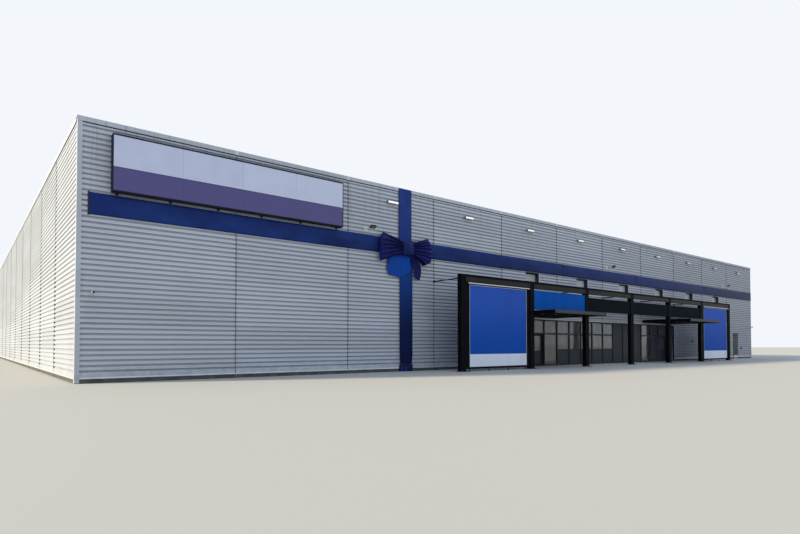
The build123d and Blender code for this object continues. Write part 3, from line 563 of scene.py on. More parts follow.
sign_face = Finish("sign_acrylic", Coat_Weight=0.3, Coat_Roughness=0.08)
x, _, z = sign_face.axes()
upper, from_left = z > SIGN_SPLIT, x - lower_face[0].x
glow = sign_face.noise(0.35, detail=1.0)
sheet = sign_face.chance((from_left / SIGN_SHEET).floor(), upper * 1.0, 0.5)
seam = ((from_left + SIGN_SEAM / 2) % SIGN_SHEET) < SIGN_SEAM
colour = sign_face.mix(upper, (0.052, 0.040, 0.200), (0.58, 0.62, 0.82))
colour = sign_face.shade(colour, 0.86 + 0.14 * glow + 0.10 * sheet)
sign_face.set("Base Color", sign_face.mix(seam * 0.35, colour, (0.03, 0.03, 0.05)))
sign_face.set("Roughness", 0.28 + 0.15 * glow)
sign_face.bump(glow - seam, 0.002)
wear(sign_face, "sign_faces")
casing_paint = powder_coat("sign_casing_paint", (0.014, 0.013, 0.026), (0.04, 0.04, 0.05),
                           0.45, gloss=0.05)
wear(casing_paint, "sign_box")
print("sign faces part at", round(SIGN_SPLIT, 3))

# %% [markdown]
# The billboards are printed boards: blue, a little lighter towards the top, over a pale band
# at the foot. A picture could hold the print, but a step at one height parts two plain
# colours with a cleaner edge. The only relief is a soft ripple in the sheet. The sign over
# the entrance is a plain, slightly brighter blue.

# %% Billboards and entrance sign
BAND_TOP = 0.43               # top of the pale band at the foot of a billboard

board_print = Finish("billboard_print", Specular_IOR_Level=0.06)
height = board_print.axes()[2]
ripple = board_print.noise(0.5, (1, 1, 0.5), 2.0)
blue = board_print.mix(height.ramp(0.4, 2.2), (0.004, 0.072, 0.400), (0.028, 0.098, 0.470))
colour = board_print.mix(height < BAND_TOP, blue, (0.74, 0.77, 0.87))
board_print.set("Base Color", board_print.shade(colour, 0.86 + 0.28 * ripple))
board_print.set("Roughness", 0.42 + 0.2 * ripple)
board_print.bump(ripple, 0.006)
wear(board_print, "billboard_panels")
sign_blue = cloudy("entrance_sign_blue", (0.002, 0.100, 0.460), (0.001, 0.085, 0.410), 0.5, 0.5,
                   Specular_IOR_Level=0.03)
wear(sign_blue, "entrance_sign")
print("boards with a pale band to", BAND_TOP)

# %% [markdown]
# The ribbon is woven polyester with a satin face. The pieces of cloth carry their own map of
# the cloth in metres, so the weave runs with the fabric and not with the building. Broad
# patches of a second tone are painted sheen and shade, for the way satin changes with its folds.

# %% Ribbon cloth
WEAVE = 0.0035                # distance from thread to thread
FADE_X = 4.0, 15.0            # painted shade: the level ribbon darkens to the right from here to here
HALF_Z = 3.20, 3.08           # and painted shade darkens it below its middle
BOW_SIDE_X = -10.8, -9.8      # to the right of the bow


def satin(name, colour, fold, high=None, far=None):
    """Two tones in broad patches: painted sheen and shade for the folds.

    Where high is given, the cloth takes that tone under the bow and in glints at its foot, as
    painted sheen and painted glints. Where far is given, it is darkened towards that tone at the
    right end of the wall, and its lower half is darker from the bow on, both as painted shade."""
    finish = Finish(name, Specular_IOR_Level=0.08, Sheen_Weight=0.02, Sheen_Roughness=0.4)
    cloth = finish.add("UVMap", {"uv_map": "cloth"})
    split = finish.add("SeparateXYZ", inputs={0: cloth})
    across, down = [Tap(finish, socket) for socket in split.socket.node.outputs][:2]
    warp = abs((across / WEAVE) % 1.0 - 0.5)
    weft = abs((down / WEAVE) % 1.0 - 0.5)
    drift = finish.add("VectorMath", {"operation": "MULTIPLY"}, {0: cloth, 1: (1.6, 1.1, 1)})
    tone = finish.add("TexNoise", inputs={"Vector": drift, "Scale": 1.0, "Detail": 2.0})
    # patches of painted sheen and shade
    tones = finish.mix(tone.ramp(0.30, 0.75), colour, fold)
    if high:
        # painted sheen under the bow, and painted glints near the foot
        height = finish.axes()[2]
        glint = height.ramp(0.17, 0.13) * finish.noise(0.05, (1, 1, 0.5)).ramp(0.48, 0.60)
        tones = finish.mix(height.ramp(0.9, 2.6).higher(glint), tones, high)
    if far:
        # painted shade: darker towards the right end, and below the middle from the bow on
        x, _, z = finish.axes()
        tones = finish.mix(x.ramp(*FADE_X) * 0.7, tones, far)
        shadow = (0.06 + 0.20 * z.ramp(*HALF_Z)) * x.ramp(*BOW_SIDE_X)
        tones = finish.shade(tones, 1 - shadow)
    finish.set("Base Color", tones)
    finish.set("Roughness", 0.40 + 0.25 * (tone - 0.5) + 0.1 * warp)
    finish.bump(warp * weft, 0.0006)
    return finish


# Lighter and darker copies of one ribbon cloth: the left tail wears a lit copy, painted sheen,
# while the right tail wears the darker satin of the bow
ribbon_satin = satin("ribbon_satin", (0.009, 0.024, 0.140), (0.014, 0.044, 0.205),
                     far=(0.014, 0.015, 0.045))
bow_satin = satin("bow_satin", (0.008, 0.010, 0.080), (0.013, 0.018, 0.140))
lit_tail_satin = satin("lit_tail_satin", (0.003, 0.068, 0.390), (0.004, 0.045, 0.270))
# the band is dark below and painted lighter under the bow: painted sheen
band_satin = satin("band_satin", (0.003, 0.008, 0.046), (0.004, 0.014, 0.074),
                   high=(0.008, 0.046, 0.230))
upper_satin = satin("upper_satin", (0.012, 0.030, 0.175), (0.019, 0.056, 0.260))
knot_satin = satin("knot_satin", (0.007, 0.012, 0.090), (0.011, 0.024, 0.145))
hem_cloth = cloudy("strap_webbing", (0.008, 0.009, 0.012), (0.016, 0.017, 0.020), 0.02, 0.7)
print("six satins and a strap")

# %% [markdown]
# Most added pieces are bars, rods and copies of one small shape. In the editor each would be
# placed by hand, but two helpers keep hundreds of them exact. A bar is a cube brought to its
# size and place, given by its two ends along each axis, with its edges eased so that they
# catch the light. A rod is a cone with two equal ends, turned along its run.

# %% Bars and rods
THIN_EASE, EASE, WIDE_EASE = 0.0008, 0.001, 0.0015     # how far the edges are eased


def about(middle, width):
    """The two ends of a width about its middle."""
    return middle - width / 2, middle + width / 2


def evenly(start, end, count):
    """This many places from start to end, with both ends among them."""
    return [start + (end - start) * i / (count - 1) for i in range(count)]


def add_bar(form, xs, ys, zs, ease=0.0):
    """A block with these two ends along x, y and z, and its edges bevelled by ease."""
    low, high = (Vector(corner) for corner in zip(*map(sorted, (xs, ys, zs))))
    place = Matrix.Translation((low + high) / 2) @ Matrix.Diagonal((*(high - low), 1))
    verts = bmesh.ops.create_cube(form, size=1, matrix=place)["verts"]
    if ease:
        edges = dict.fromkeys(edge for vert in verts for edge in vert.link_edges)
        bmesh.ops.bevel(form, geom=list(edges), offset=ease, segments=1, profile=0.5,
                        affect="EDGES", material=-1)


def add_rod(form, start, end, radius, sides=12):
    """A round bar from one point to another."""
    start, end = Vector(start), Vector(end)
    turn = (end - start).to_track_quat("Z", "Y").to_matrix().to_4x4()
    place = Matrix.Translation((start + end) / 2) @ turn
    bmesh.ops.create_cone(form, cap_ends=True, segments=sides, radius1=radius, radius2=radius,
                          depth=(end - start).length, matrix=place)


print("bars and rods, eased by", EASE)

# %% [markdown]
# A shape that repeats is modelled once, then its mesh is added to the piece at each place, so
# a thousand screws are one object. A finished piece gets its material, its body and its slot
# in one call, and none is forgotten.

# %% Copies and finished pieces
def shape_mesh(form, name):
    """The form as a mesh."""
    mesh = bpy.data.meshes.new(name)
    form.to_mesh(mesh)
    form.free()
    return mesh


def add_copies(form, shape, places):
    """The shape's mesh at each place: a point, or a matrix that also turns it."""
    for place in places:
        moved = shape.copy()
        moved.transform(place if isinstance(place, Matrix) else Matrix.Translation(place))
        form.from_mesh(moved)
        bpy.data.meshes.remove(moved)


def repeated(form, places):
    """A form that holds the given one at each place."""
    made = bmesh.new()
    add_copies(made, shape_mesh(form, "shape"), places)
    return made


def piece(name, form, finish, body="building", replaces=(), smooth=False):
    """Put a finished form in the scene as a piece that rides on a body."""
    mesh = shape_mesh(form, name)
    mesh.materials.append(finish.material)
    if smooth:
        mesh.shade_smooth()
    made = bpy.data.objects.new(name, mesh)
    scene.collection.objects.link(made)
    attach(made, body)
    if replaces:
        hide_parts(*replaces)
    print(name, len(mesh.polygons), "faces")
    return made


def hex_bolt(across, height):
    """A washer and a six-sided head, with the wall behind it at z = 0."""
    form = bmesh.new()
    washer = height * 0.3
    add_rod(form, (0, 0, 0), (0, 0, washer), across * 0.85, 12)
    add_rod(form, (0, 0, washer), (0, 0, height), across * 0.55, 6)
    return shape_mesh(form, "bolt")


QUARTER = Matrix.Rotation(math.pi / 2, 4, "Z")
FACING = {
    "front": Matrix.Rotation(math.pi / 2, 4, "X"),
    "back": Matrix.Rotation(-math.pi / 2, 4, "X"),
    "left": Matrix.Rotation(-math.pi / 2, 4, "Y") @ QUARTER,
    "right": Matrix.Rotation(math.pi / 2, 4, "Y") @ QUARTER,
}


def facing(side, *points):
    """Matrices that put a shape on a wall, with its z axis pointing out of it."""
    return [Matrix.Translation(point) @ FACING[side] for point in points]


print("shapes can face", *FACING)

# %% [markdown]
# Where a strip covers a sheet joint, the valleys of the ribs stay open at its edges, and those
# open ends lie in shade. They are stopped with black foam blocks cut to the shape of the
# valley, which are partly closures and partly painted shade for the dark ends. From a distance
# these make the dashed lines that run down the walls beside each strip. A block is shaped from
# a cube whose inner face is narrowed, then copied to both sides of each strip, valley by
# valley. On the front hardly any of each block shows beside its strip.

# %% Foam fillers in the valleys, partly painted shade
FRONT_FILLER, SIDE_FILLER = 0.0015, 0.034     # width that shows
FILLER_RECESS = 0.001
SHOP_MARGIN = 0.05            # nothing sits this close above the shop front


def filler_block(width):
    """Foam for one valley: it starts just inside the crests and fills it to its floor."""
    form = bmesh.new()
    mouth = RIB_PITCH - RIB_CREST
    for vert in bmesh.ops.create_cube(form, size=1)["verts"]:
        inner = vert.co.z < 0
        vert.co.x *= width
        vert.co.y *= (mouth - 2 * RIB_WEB) if inner else mouth - 2 * FILLER_RECESS
        vert.co.z = GAP - RIB_DEPTH if inner else -FILLER_RECESS
    return shape_mesh(form, "filler")


shop_low, shop_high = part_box("shopfront_frame")


def on_sheet(x, z):
    """True where the front sheet has no opening at this place."""
    beside_shop = not shop_low.x - STRIP_WIDTH < x < shop_high.x + STRIP_WIDTH
    return beside_shop or z >= shop_high.z + SHOP_MARGIN


def on_walls(places_front, places_side):
    """Matrices for (along, z) places on the front and back, and on the two side walls."""
    seen_front = [(x, z) for x, z in places_front if on_sheet(x, z)]
    return (
        facing("front", *[(x, FRONT, z) for x, z in seen_front])
        + facing("back", *[(x, BACK, z) for x, z in places_front])
        + facing("left", *[(LEFT, y, z) for y, z in places_side])
        + facing("right", *[(RIGHT, y, z) for y, z in places_side])
    )


def beside(joints, heights, reach):
    """Places on both sides of each joint, at each height."""
    return [(joint + side * reach, z) for joint in joints for side in (-1, 1) for z in heights]


form = bmesh.new()
for width, front_at, side_at in ((FRONT_FILLER, front_joints, []), (SIDE_FILLER, [], side_joints)):
    reach = (STRIP_WIDTH + width) / 2
    places = on_walls(beside(front_at, valley_z, reach), beside(side_at, valley_z, reach))
    add_copies(form, filler_block(width), places)
# black foam, partly painted shade for the open valley ends
piece("joint_fillers_and_shade", form, foam)

# %% [markdown]
# Every second rib is screwed down beside each strip. The heads are small, so each is a single
# six-sided cone with its tip cut off.

# %% Sheet screws
SCREW_R, SCREW_TIP_R, SCREW_HEIGHT = 0.006, 0.0042, 0.004
SCREW_INSET = 0.022           # edge of the strip to the screw

form = bmesh.new()
bmesh.ops.create_cone(form, cap_ends=True, segments=6, radius1=SCREW_R, radius2=SCREW_TIP_R,
                      depth=SCREW_HEIGHT, matrix=Matrix.Translation((0, 0, SCREW_HEIGHT / 2)))
screw = shape_mesh(form, "screw")
form = bmesh.new()
reach = STRIP_WIDTH / 2 + SCREW_INSET
add_copies(form, screw, on_walls(beside(front_joints, crest_z[::2], reach),
                                 beside(side_joints, crest_z[::2], reach)))
piece("sheet_screws", form, galvanised)

# %% [markdown]
# A drip flashing closes the foot of the sheets above the plinth and throws the rain clear.
# Folded sheet metal is easiest as an open profile: a few points joined by edges, extruded
# along its run, and only then given its thickness.

# %% Drip flashing
DRIP_PROFILE = ((0.001, 0.012), (0.0025, 0), (0.010, -0.004), (0.010, -0.014))     # out and up
TRIM_METAL = 0.0015
CORNER_LEG = 0.075
BETWEEN_X = LEFT + CORNER_LEG, RIGHT - CORNER_LEG      # between the corner trims
BETWEEN_Y = FRONT + CORNER_LEG, BACK - CORNER_LEG
X_AXIS, Y_AXIS, Z_AXIS = Vector((1, 0, 0)), Vector((0, 1, 0)), Vector((0, 0, 1))


def add_folded(form, points, path):
    """A folded strip: an open profile of points, extruded along the path."""
    verts = [form.verts.new(point) for point in points]
    edges = [form.edges.new(pair) for pair in zip(verts, verts[1:])]
    made = bmesh.ops.extrude_edge_only(form, edges=edges)["geom"]
    moved = [item for item in made if isinstance(item, bmesh.types.BMVert)]
    bmesh.ops.translate(form, verts=moved, vec=path)


def thicken(form, thickness):
    """Give open sheet metal its thickness and point its faces outwards."""
    bmesh.ops.recalc_face_normals(form, faces=form.faces)
    bmesh.ops.solidify(form, geom=form.faces[:], thickness=thickness)
    bmesh.ops.recalc_face_normals(form, faces=form.faces)


door_low, door_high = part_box("side_door_frame")
x0, x1 = BETWEEN_X
y0, y1 = BETWEEN_Y
runs = (((x0, FRONT), (shop_low.x, FRONT), -Y_AXIS),
        ((shop_high.x, FRONT), (door_low.x, FRONT), -Y_AXIS),
        ((door_high.x, FRONT), (x1, FRONT), -Y_AXIS),
        ((x0, BACK), (x1, BACK), Y_AXIS),
        ((LEFT, y0), (LEFT, y1), -X_AXIS),
        ((RIGHT, y0), (RIGHT, y1), X_AXIS))
form = bmesh.new()
for start, end, out in runs:
    start, end = Vector((*start, SHEET_FOOT)), Vector((*end, SHEET_FOOT))
    points = [start + out * step + Z_AXIS * rise for step, rise in DRIP_PROFILE]
    add_folded(form, points, end - start)
thicken(form, TRIM_METAL)
piece("drip_flashing", form, bright_trim)

# %% [markdown]
# Cover plates bridge the joints of the parapet cap. Each repeats the outline of the cap a
# hair outside it, so it is folded by the same helper, and its metal fills the space down to
# the cap.

# %% Cap covers
cap_low, cap_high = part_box("parapet_caps")
CAP_PROUD = FRONT - cap_low.y
CAP_INNER = 0.145             # crests to the inner edge of the cap
CAP_TOP_FALL = 0.012
CAP_LEG, CAP_INNER_LEG = 0.085, 0.045
COVER_WIDTH, COVER_LIFT = 0.060, 0.0008


def add_cap_covers(form, places, edge, inwards, along):
    """Cover plates over the cap: places run along the wall, edge is the cap's outer face."""
    outer = edge - inwards * COVER_LIFT
    inner = outer + inwards * (CAP_INNER + CAP_PROUD + 2 * COVER_LIFT)
    inner_z = cap_high.z - CAP_TOP_FALL
    profile = (outer + Z_AXIS * (cap_high.z - CAP_LEG), outer + Z_AXIS * (cap_high.z + COVER_LIFT),
               inner + Z_AXIS * inner_z, inner + Z_AXIS * (inner_z - CAP_INNER_LEG))
    for place in places:
        start = along * (place - COVER_WIDTH / 2)
        add_folded(form, [point + start for point in profile], along * COVER_WIDTH)


form = bmesh.new()
for joints, across, along in ((front_joints, Y_AXIS, X_AXIS), (side_joints, X_AXIS, Y_AXIS)):
    add_cap_covers(form, joints, across * cap_low.dot(across), across, along)
    add_cap_covers(form, joints, across * cap_high.dot(across), -across, along)
thicken(form, TRIM_METAL / 2)
piece("cap_covers", form, bright_trim)

# %% [markdown]
# Under the leg of the cap a strip of black foam closes the space against the sheet. It is
# hardly seen as a strip, but it is painted shadow: a dark bar where the leg casts its shade,
# which draws the dark line that parts the cap from the ribs. Nobody sees its section, so four
# plain bars are enough.

# %% Foam under the cap, as painted shadow
CAP_SHADOW_TALL, CAP_SHADOW_PROUD = 0.018, 0.0035
cap_shadow_top = cap_high.z - CAP_LEG - GAP
cap_shadow_z = cap_shadow_top - CAP_SHADOW_TALL, cap_shadow_top
form = bmesh.new()
for wall, out in ((FRONT, -1), (BACK, 1)):
    add_bar(form, BETWEEN_X, (wall + out * GAP, wall + out * CAP_SHADOW_PROUD), cap_shadow_z)
for wall, out in ((LEFT, -1), (RIGHT, 1)):
    add_bar(form, (wall + out * GAP, wall + out * CAP_SHADOW_PROUD), BETWEEN_Y, cap_shadow_z)
# a dark strip that stands in for the shadow under the cap's leg: painted shadow
piece("cap_shadow_foam", form, foam)

# %% [markdown]
# The sign box is a folded steel tray. Dark aluminium strips hold the two acrylic faces at
# their edges and along the parting, and steel brackets carry the box above and below. A strip
# could be an extruded profile, but seen from below a plain bar with eased edges catches the
# same light.

# %% Sign strips and brackets
RIM_FACE, PARTING_LAP, STRIP_OUT = 0.026, 0.002, 0.004
BRACKET_STEP, BRACKET_INSET = 0.795, 0.1
BRACKET_WIDE, BRACKET_DEEP, BRACKET_TALL, BRACKET_METAL = 0.050, 0.090, 0.035, 0.006

box_low, box_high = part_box("sign_box")
rows = ((box_low.z, box_low.z + RIM_FACE),
        (lower_face[1].z - PARTING_LAP, upper_face[0].z + PARTING_LAP),
        (box_high.z - RIM_FACE, box_high.z))
ys = about(box_low.y, 2 * STRIP_OUT)
form = bmesh.new()
for zs in rows:
    add_bar(form, (box_low.x, box_high.x), ys, zs, EASE)
for xs in ((box_low.x, box_low.x + RIM_FACE / 2), (box_high.x - RIM_FACE / 2, box_high.x)):
    for below, above in zip(rows, rows[1:]):
        add_bar(form, xs, ys, (below[1], above[0]), EASE)
piece("sign_strips", form, casing_paint)

form = bmesh.new()
count = int((box_high.x - box_low.x) / BRACKET_STEP) + 1
for x in evenly(box_low.x + BRACKET_INSET, box_high.x - BRACKET_INSET, count):
    for z, lift in ((box_low.z - GAP, -1), (box_high.z + GAP, 1)):
        for deep, tall in ((BRACKET_DEEP, BRACKET_METAL), (BRACKET_METAL, BRACKET_TALL)):
            add_bar(form, about(x, BRACKET_WIDE), (box_high.y - deep, box_high.y),
                    (z, z + lift * tall), EASE)
piece("sign_brackets", form, casing_paint)

# %% [markdown]
# Each high window is a deep metal lining let into the sheet. A flashing frames it on the
# outside, a sill throws the rain clear, and a rubber seal runs round the pane. Mitred corners
# wouldn't show at this size, so the bars of a frame simply butt. The lining is painted dark:
# painted shade for the head and jambs of the recess.

# %% Frames around openings
def add_frame(form, low, high, face, ys, ease=0.0):
    """Four bars of width face just outside the rectangle from low to high, in x and z."""
    (x0, z0), (x1, z1) = low, high
    add_bar(form, (x0 - face, x0), ys, (z0, z1), ease)
    add_bar(form, (x1, x1 + face), ys, (z0, z1), ease)
    add_bar(form, (x0 - face, x1 + face), ys, (z1, z1 + face), ease)
    add_bar(form, (x0 - face, x1 + face), ys, (z0 - face, z0), ease)


def add_bead(form, low, high, face, out, ease=0.0):
    """Four bars on the front of a box, just inside its outline."""
    add_frame(form, (low.x + face, low.z + face), (high.x - face, high.z - face), face,
              (low.y - out, low.y - GAP), ease)


FLASHING, FLASHING_OUT = 0.022, 0.004
SILL_OUT, SILL_THICK = 0.014, 0.004
SEAL, SEAL_OUT = 0.006, 0.004

form = bmesh.new()
for low, high in solids("high_window_frames"):
    add_frame(form, (low.x, low.z), (high.x, high.z), FLASHING,
              (FRONT - FLASHING_OUT, FRONT - GAP), THIN_EASE)
    sill_top = low.z - FLASHING
    add_bar(form, (low.x - FLASHING, high.x + FLASHING), (FRONT - SILL_OUT, FRONT - GAP),
            (sill_top - SILL_THICK, sill_top), THIN_EASE)
piece("window_flashings", form, bright_trim)

form = bmesh.new()
for low, high in solids("high_window_glass"):
    add_bead(form, low, high, SEAL, SEAL_OUT)
piece("window_seals", form, foam)
# painted shade: the lining is dark for the shade inside the recess
lining_shade_paint = powder_coat("window_lining_paint", (0.050, 0.056, 0.066), (0.085, 0.090, 0.098),
                           0.45)
wear(lining_shade_paint, "high_window_frames")

# %% [markdown]
# The overflow spouts are flat metal channels through the parapet. From below one looks up
# through them at the sky, so their mouths are the brightest spots of the wall. A channel is a
# rectangle of edges extruded out of the wall, and its first and last corners are merged
# before it gets its thickness. A white translucent flap hangs in its mouth, and a little glow
# in the flap's finish stands for the daylight that comes through it. The glow fades towards
# the right end, where the roof is in shade.

# %% Overflow spouts
SPOUT_WIDE, SPOUT_OUT, SPOUT_METAL = 0.320, 0.075, 0.004
PLATE_MARGIN, PLATE_THICK = 0.012, 0.003
FLAP_IN, FLAP_THICK = 0.004, 0.003       # the flap hangs this far inside the mouth
spouts = solids("overflow_spouts")
channels, plates, flaps = bmesh.new(), bmesh.new(), bmesh.new()
for low, high in spouts:
    left, right, flap = low.x, low.x + SPOUT_WIDE, FRONT - SPOUT_OUT + FLAP_IN
    corners = [(left, high.z), (left, low.z), (right, low.z), (right, high.z), (left, high.z)]
    add_folded(channels, [(x, FRONT - GAP, z) for x, z in corners], Y_AXIS * -SPOUT_OUT)
    add_frame(plates, (left, low.z), (right, high.z), PLATE_MARGIN,
              (FRONT - PLATE_THICK, FRONT - GAP))
    add_bar(flaps, (left + SPOUT_METAL, right - SPOUT_METAL), (flap, flap + FLAP_THICK),
            (low.z + SPOUT_METAL, high.z - SPOUT_METAL), EASE)
bmesh.ops.remove_doubles(channels, verts=channels.verts, dist=1e-5)
thicken(channels, SPOUT_METAL)
spout_steel = cloudy("spout_steel", (0.20, 0.205, 0.21), (0.12, 0.125, 0.13), 0.04, 0.5,
                     Metallic=0.3)
piece("spout_channels", channels, spout_steel, replaces=("overflow_spouts",))
piece("spout_plates", plates, bright_trim)
flap_white = cloudy("flap_white", (0.90, 0.90, 0.84), (0.82, 0.83, 0.80), 0.05, 0.4,
                    Emission_Strength=0.45)
daylight = flap_white.axes()[0].ramp(9.0, -3.0)
flap_white.set("Emission Color", flap_white.shade((1.0, 1.0, 0.90), daylight))
piece("spout_flaps", flaps, flap_white)

# %% [markdown]
# The floodlights are flat heads on arms, aimed down in front of the wall. The real head is a
# cast body with cooling fins on its back, a stirrup bracket and a pane of glass in front. The
# whole lamp replaces the plain CAD one, in the same box and at the same tilt. It is shaped
# level, because bars are easiest along the axes, then tilted at the end of its arm and copied
# to the three places. The arm and its base plate are bare metal.

# %% Floodlights
LAMP_TILT = math.radians(25)
HEAD = Vector((0.150, 0.110, 0.045))
FIN_COUNT, FIN_THICK, FIN_INSET = 9, 0.004, 0.01
STIRRUP_THICK, STIRRUP_DEEP = 0.004, 0.024
PANE_THICK, PANE_OUT = 0.003, 0.001
ARM_LENGTH, ARM_R = 0.300, 0.009
BASE_SIZE, BASE_THICK, BASE_BOLT = 0.110, 0.008, 0.04

base_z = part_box("floodlights")[0].z + BASE_SIZE / 2
lamp_places = [Vector(((low.x + high.x) / 2, FRONT, base_z))
               for low, high in solids("floodlights")]
head_place = Matrix.Translation((0, -ARM_LENGTH, 0)) @ Matrix.Rotation(-LAMP_TILT, 4, "X")
half = HEAD / 2
body_top = half.z * 0.2

form = bmesh.new()
add_bar(form, (-half.x, half.x), (-half.y, half.y), (-half.z, body_top), 0.005)
for x in evenly(FIN_INSET - half.x, half.x - FIN_INSET, FIN_COUNT):
    add_bar(form, about(x, FIN_THICK), about(0, HEAD.y * 0.85), (body_top - 0.001, half.z), EASE)
for x in (-half.x, half.x):
    add_bar(form, about(x, STIRRUP_THICK), about(0, STIRRUP_DEEP), (-0.010, 0.014))
bmesh.ops.transform(form, matrix=head_place, verts=form.verts)
lamp_paint = powder_coat("lamp_casting", (0.020, 0.021, 0.024), (0.05, 0.05, 0.05), 0.45,
                         gloss=0.1)
piece("floodlight_bodies", repeated(form, lamp_places), lamp_paint,
      replaces=("floodlights",))

form = bmesh.new()
add_rod(form, (0, -ARM_LENGTH + half.y * 0.6, 0), (0, -BASE_THICK, 0), ARM_R, 16)
add_bar(form, about(0, BASE_SIZE), (-BASE_THICK, -GAP), about(0, BASE_SIZE), 0.002)
corners = [(x, -BASE_THICK, z) for x in (-BASE_BOLT, BASE_BOLT) for z in (-BASE_BOLT, BASE_BOLT)]
add_copies(form, hex_bolt(0.010, 0.005), facing("front", *corners))
piece("floodlight_arms", repeated(form, lamp_places), bright_trim)

form = bmesh.new()
pane_z = -half.z - PANE_OUT
add_bar(form, about(0, HEAD.x * 0.88), about(0, HEAD.y * 0.84), (pane_z, pane_z + PANE_THICK), EASE)
bmesh.ops.transform(form, matrix=head_place, verts=form.verts)
lamp_glass = cloudy("lamp_glass", (0.16, 0.17, 0.18), (0.11, 0.12, 0.13), 0.04, 0.12,
                    Coat_Weight=0.5)
piece("floodlight_glass", repeated(form, lamp_places), lamp_glass)

# %% [markdown]
# Two bullet cameras watch the corners, and two small boxes sit beside the doors: a key box
# and a bell. The camera is a pale turned body under a sunshield, on a ball joint and a round
# base, with a black lens. Turned parts are rods of several widths, and the sunshield is an
# open tube with its lower half deleted.

# %% Cameras and wall boxes
CAMERA_R, CAMERA_LENGTH = 0.028, 0.110
CAMERA_DEEP = 0.1             # a fitting deeper than this is a camera
LID_INSET, LID_FOOT, LID_THICK = 0.012, 0.045, 0.003
cameras, boxes = [], []
for low, high in solids("wall_fittings"):
    (cameras if high.y - low.y > CAMERA_DEEP else boxes).append((low, high))
camera_places = [Vector(((low.x + high.x) / 2, FRONT, low.z + CAMERA_R)) for low, high in cameras]

form = bmesh.new()
lens_end, base_z = -(CAMERA_LENGTH + CAMERA_R), CAMERA_R * 0.5
add_rod(form, (0, lens_end + 0.004, 0), (0, -CAMERA_R, 0), CAMERA_R * 0.82, 20)
add_rod(form, (0, lens_end, 0), (0, lens_end + 0.010, 0), CAMERA_R * 0.90, 20)
add_rod(form, (0, -0.006, base_z), (0, -GAP, base_z), CAMERA_R * 0.9, 20)
add_rod(form, (0, -CAMERA_R * 1.6, 0.004), (0, -0.004, base_z), CAMERA_R * 0.3, 12)
shield_place = Matrix.Translation((0, lens_end + CAMERA_LENGTH / 2, 0)) @ FACING["front"]
shield = bmesh.ops.create_cone(form, cap_ends=False, segments=24, radius1=CAMERA_R * 0.96,
                               radius2=CAMERA_R * 0.96, depth=CAMERA_LENGTH,
                               matrix=shield_place)["verts"]
lower_half = [vert for vert in shield if vert.co.z < -0.001]
bmesh.ops.delete(form, geom=lower_half, context="VERTS")
camera_white = cloudy("camera_white", (0.60, 0.61, 0.60), (0.50, 0.51, 0.50), 0.03, 0.35)
piece("camera_bodies", repeated(form, camera_places), camera_white,
      replaces=("wall_fittings",))

form = bmesh.new()
add_rod(form, (0, lens_end - 0.002, 0), (0, lens_end - GAP, 0), CAMERA_R * 0.72, 20)
piece("camera_lenses", repeated(form, camera_places), foam)

form = bmesh.new()
for low, high in boxes:
    add_bar(form, (low.x, high.x), (low.y, FRONT - GAP), (low.z, high.z), 0.004)
    add_bar(form, (low.x + LID_INSET, high.x - LID_INSET), (low.y - LID_THICK, low.y),
            (low.z + LID_FOOT, high.z - LID_INSET), EASE)
box_paint = powder_coat("box_plastic", (0.030, 0.031, 0.034), (0.08, 0.08, 0.08), 0.4)
piece("wall_boxes", form, box_paint)

# %% [markdown]
# The gift ribbon is cloth. A cloth simulation could hang it, but it would come out a little
# different each time it is tuned, so the folds are worked out instead. Every length starts as
# a flat grid with its size in metres kept in the UV map, and a shape function bends it into
# place. Noise gives the slack where it hangs free, and rows of folds follow a sine wave. The
# flat size of each cloth is measured along its own rows and columns after bending, so the
# amount of material always fits the folds.

# %% Cloth from flat grids
CLOTH_THICK = 0.0012
CLOTH_OFF = 0.0025            # back of the cloth to what it rests on
NEARLY_WHOLE = 0.97           # below this share of its rectangle a cloth was cut to a shape

ribbon_low, ribbon_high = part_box("ribbon_level")
band_low, band_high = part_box("ribbon_upright")
knot_low, knot_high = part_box("bow_knot")
knot = (knot_low + knot_high) / 2
ribbon_y = ribbon_high.y - CLOTH_OFF
band_y = ribbon_low.y - 2 * CLOTH_OFF
sheet_sizes = {}


def line_lengths(form, columns, rows):
    """Longest row and longest column of a grid of cloth."""
    form.verts.ensure_lookup_table()
    grid = [[form.verts[row * (columns + 1) + column].co for column in range(columns + 1)]
            for row in range(rows + 1)]
    across = max(sum((b - a).length for a, b in zip(line, line[1:])) for line in grid)
    along = max(sum((b - a).length for a, b in zip(line, line[1:])) for line in zip(*grid))
    return across, along


def cloth(name, columns, rows, nominal, shape, finish, held, rests_on, replaces=()):
    """A grid of cloth, bent by shape(u, v), with its flat size measured on the bent form."""
    form = bmesh.new()
    layer = form.loops.layers.uv.new("cloth")
    bmesh.ops.create_grid(form, x_segments=columns, y_segments=rows, size=0.5)
    for face in form.faces:
        for loop in face.loops:
            u, v = loop.vert.co.x + 0.5, loop.vert.co.y + 0.5
            loop[layer].uv = (u * nominal[0], v * nominal[1])
    for vert in form.verts:
        vert.co = shape(vert.co.x + 0.5, vert.co.y + 0.5)
    across, along = line_lengths(form, columns, rows)
    area = sum(face.calc_area() for face in form.faces)
    made = piece(name, form, finish, replaces=replaces, smooth=True)
    body = made.modifiers.new("thickness", "SOLIDIFY")
    body.thickness = CLOTH_THICK
    body.offset = 0
    cut = area if area < NEARLY_WHOLE * across * along else None
    list(rests_on)
    sheet_sizes[name] = (round(across, 3), round(along, 3), round(area, 3))
    return made


def folds(u, count, depth, phase=0.0):
    """Depth of a row of soft folds at the place u across the cloth, never below zero."""
    return depth * (0.5 - 0.5 * math.cos(2 * math.pi * (count * u + phase)))


def slack(x, z, seed, depth):
    """Soft unevenness of cloth that hangs free, from zero to depth."""
    return depth * (0.5 + 0.5 * noise.noise(Vector((x, z, seed))))


print("level ribbon at", round(ribbon_y, 4), "upright band at", round(band_y, 4))

